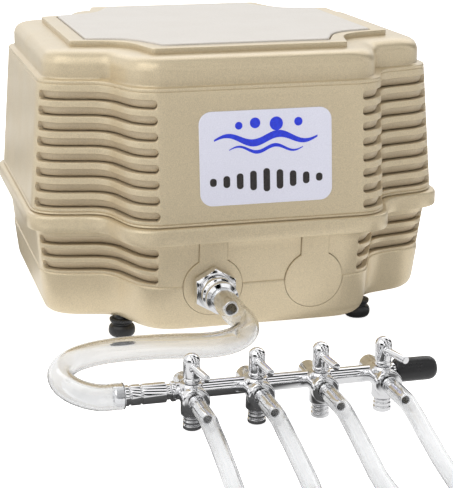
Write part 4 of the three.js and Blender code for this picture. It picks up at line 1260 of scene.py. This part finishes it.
corners = [(-FLOOR_HALF, -FLOOR_HALF, 0), (FLOOR_HALF, -FLOOR_HALF, 0),
           (FLOOR_HALF, FLOOR_HALF, 0), (-FLOOR_HALF, FLOOR_HALF, 0)]
floor_mesh = bpy.data.meshes.new("floor")
floor_mesh.from_pydata(corners, [], [(0, 1, 2, 3)])
floor = bpy.data.objects.new("floor", floor_mesh)
scene.collection.objects.link(floor)
floor.location = (0, 0, ORIGIN[2] - FLOOR_DROP)
FLOOR_WHITE = principled("pale_floor", (PAPER, PAPER, PAPER), 0.9)
floor_shader = shader_of(FLOOR_WHITE)
floor_shader.inputs["Emission Color"].default_value = (1, 1, 1, 1)
floor_ray, floor_mirrored = mirror_rays(FLOOR_WHITE)
floor_bands = diagonal_bands(FLOOR_WHITE, "Object", Scale=3.2, Distortion=1.2, Detail=1.0)
band_glow = ranged(FLOOR_WHITE, floor_bands, 0.0, GLOW_IN_MIRRORS, 0.3, 0.6)
seen_glow = ranged(FLOOR_WHITE, floor_ray.outputs["Is Transmission Ray"], GLOW, GLOW_THROUGH_TUBES, 0, 1)
for socket, seen, in_mirrors in (
    ("Emission Strength", seen_glow, band_glow),
    ("Base Color", PAPER, PAPER_IN_MIRRORS),
):
    link(mixed(FLOOR_WHITE, floor_mirrored, seen, in_mirrors), floor_shader.inputs[socket])
floor_mesh.materials.append(FLOOR_WHITE)


def area_light(name, at, aim, size, watts):
    data = bpy.data.lights.new(name, "AREA")
    data.shape = "RECTANGLE"
    data.size, data.size_y = (s * MM for s in size)
    data.energy = watts
    light = bpy.data.objects.new(name, data)
    scene.collection.objects.link(light)
    light.location = place(at)
    light.rotation_euler = (Vector(place(aim)) - light.location).to_track_quat("-Z", "Y").to_euler()


area_light("key", (-700, -500, 1000), (0, 0, 60), (1300, 1300), 5)
area_light("back", (300, 900, 900), (0, 0, 60), (1800, 900), 3.5)

TOWARD_BACK = (-0.45, 0.85, 0)
FRONT_TO_BACK = [(0.0, 0.42), (0.35, 0.62), (0.6, 0.9), (1.0, 0.95)]  # place, brightness

world = bpy.data.worlds.new("studio")
world.use_nodes = True
scene.world = world
direction = node(world, "ShaderNodeTexCoord")
backward = node(world, "ShaderNodeVectorMath", operation="DOT_PRODUCT")
backward.inputs[1].default_value = TOWARD_BACK
link(direction.outputs["Generated"], backward.inputs[0])
how_far_back = ranged(world, backward.outputs["Value"], 0, 1, -1, 1)
sky = node(world, "ShaderNodeValToRGB")
link(how_far_back, sky.inputs["Fac"])
for k, (position, level) in enumerate(FRONT_TO_BACK):
    stop = sky.color_ramp.elements[k] if k < 2 else sky.color_ramp.elements.new(position)
    stop.position = position
    stop.color = (level, level, level, 1)
walls = ranged(world, diagonal_bands(world, "Generated", Scale=0.9, Distortion=0.5), 0, 1.15, 0.35, 0.6)
banded = node(world, "ShaderNodeMath", operation="MULTIPLY")
link(mirror_rays(world)[1], banded.inputs[0])
link(ranged(world, how_far_back, 1, 0, 0.5, 0.64), banded.inputs[1])
background = world.node_tree.nodes["Background"]
background.inputs["Strength"].default_value = 1.0
link(mixed(world, banded.outputs["Value"], sky.outputs["Color"], walls), background.inputs["Color"])
scene.view_settings.view_transform = "Standard"
scene.view_settings.look = "None"
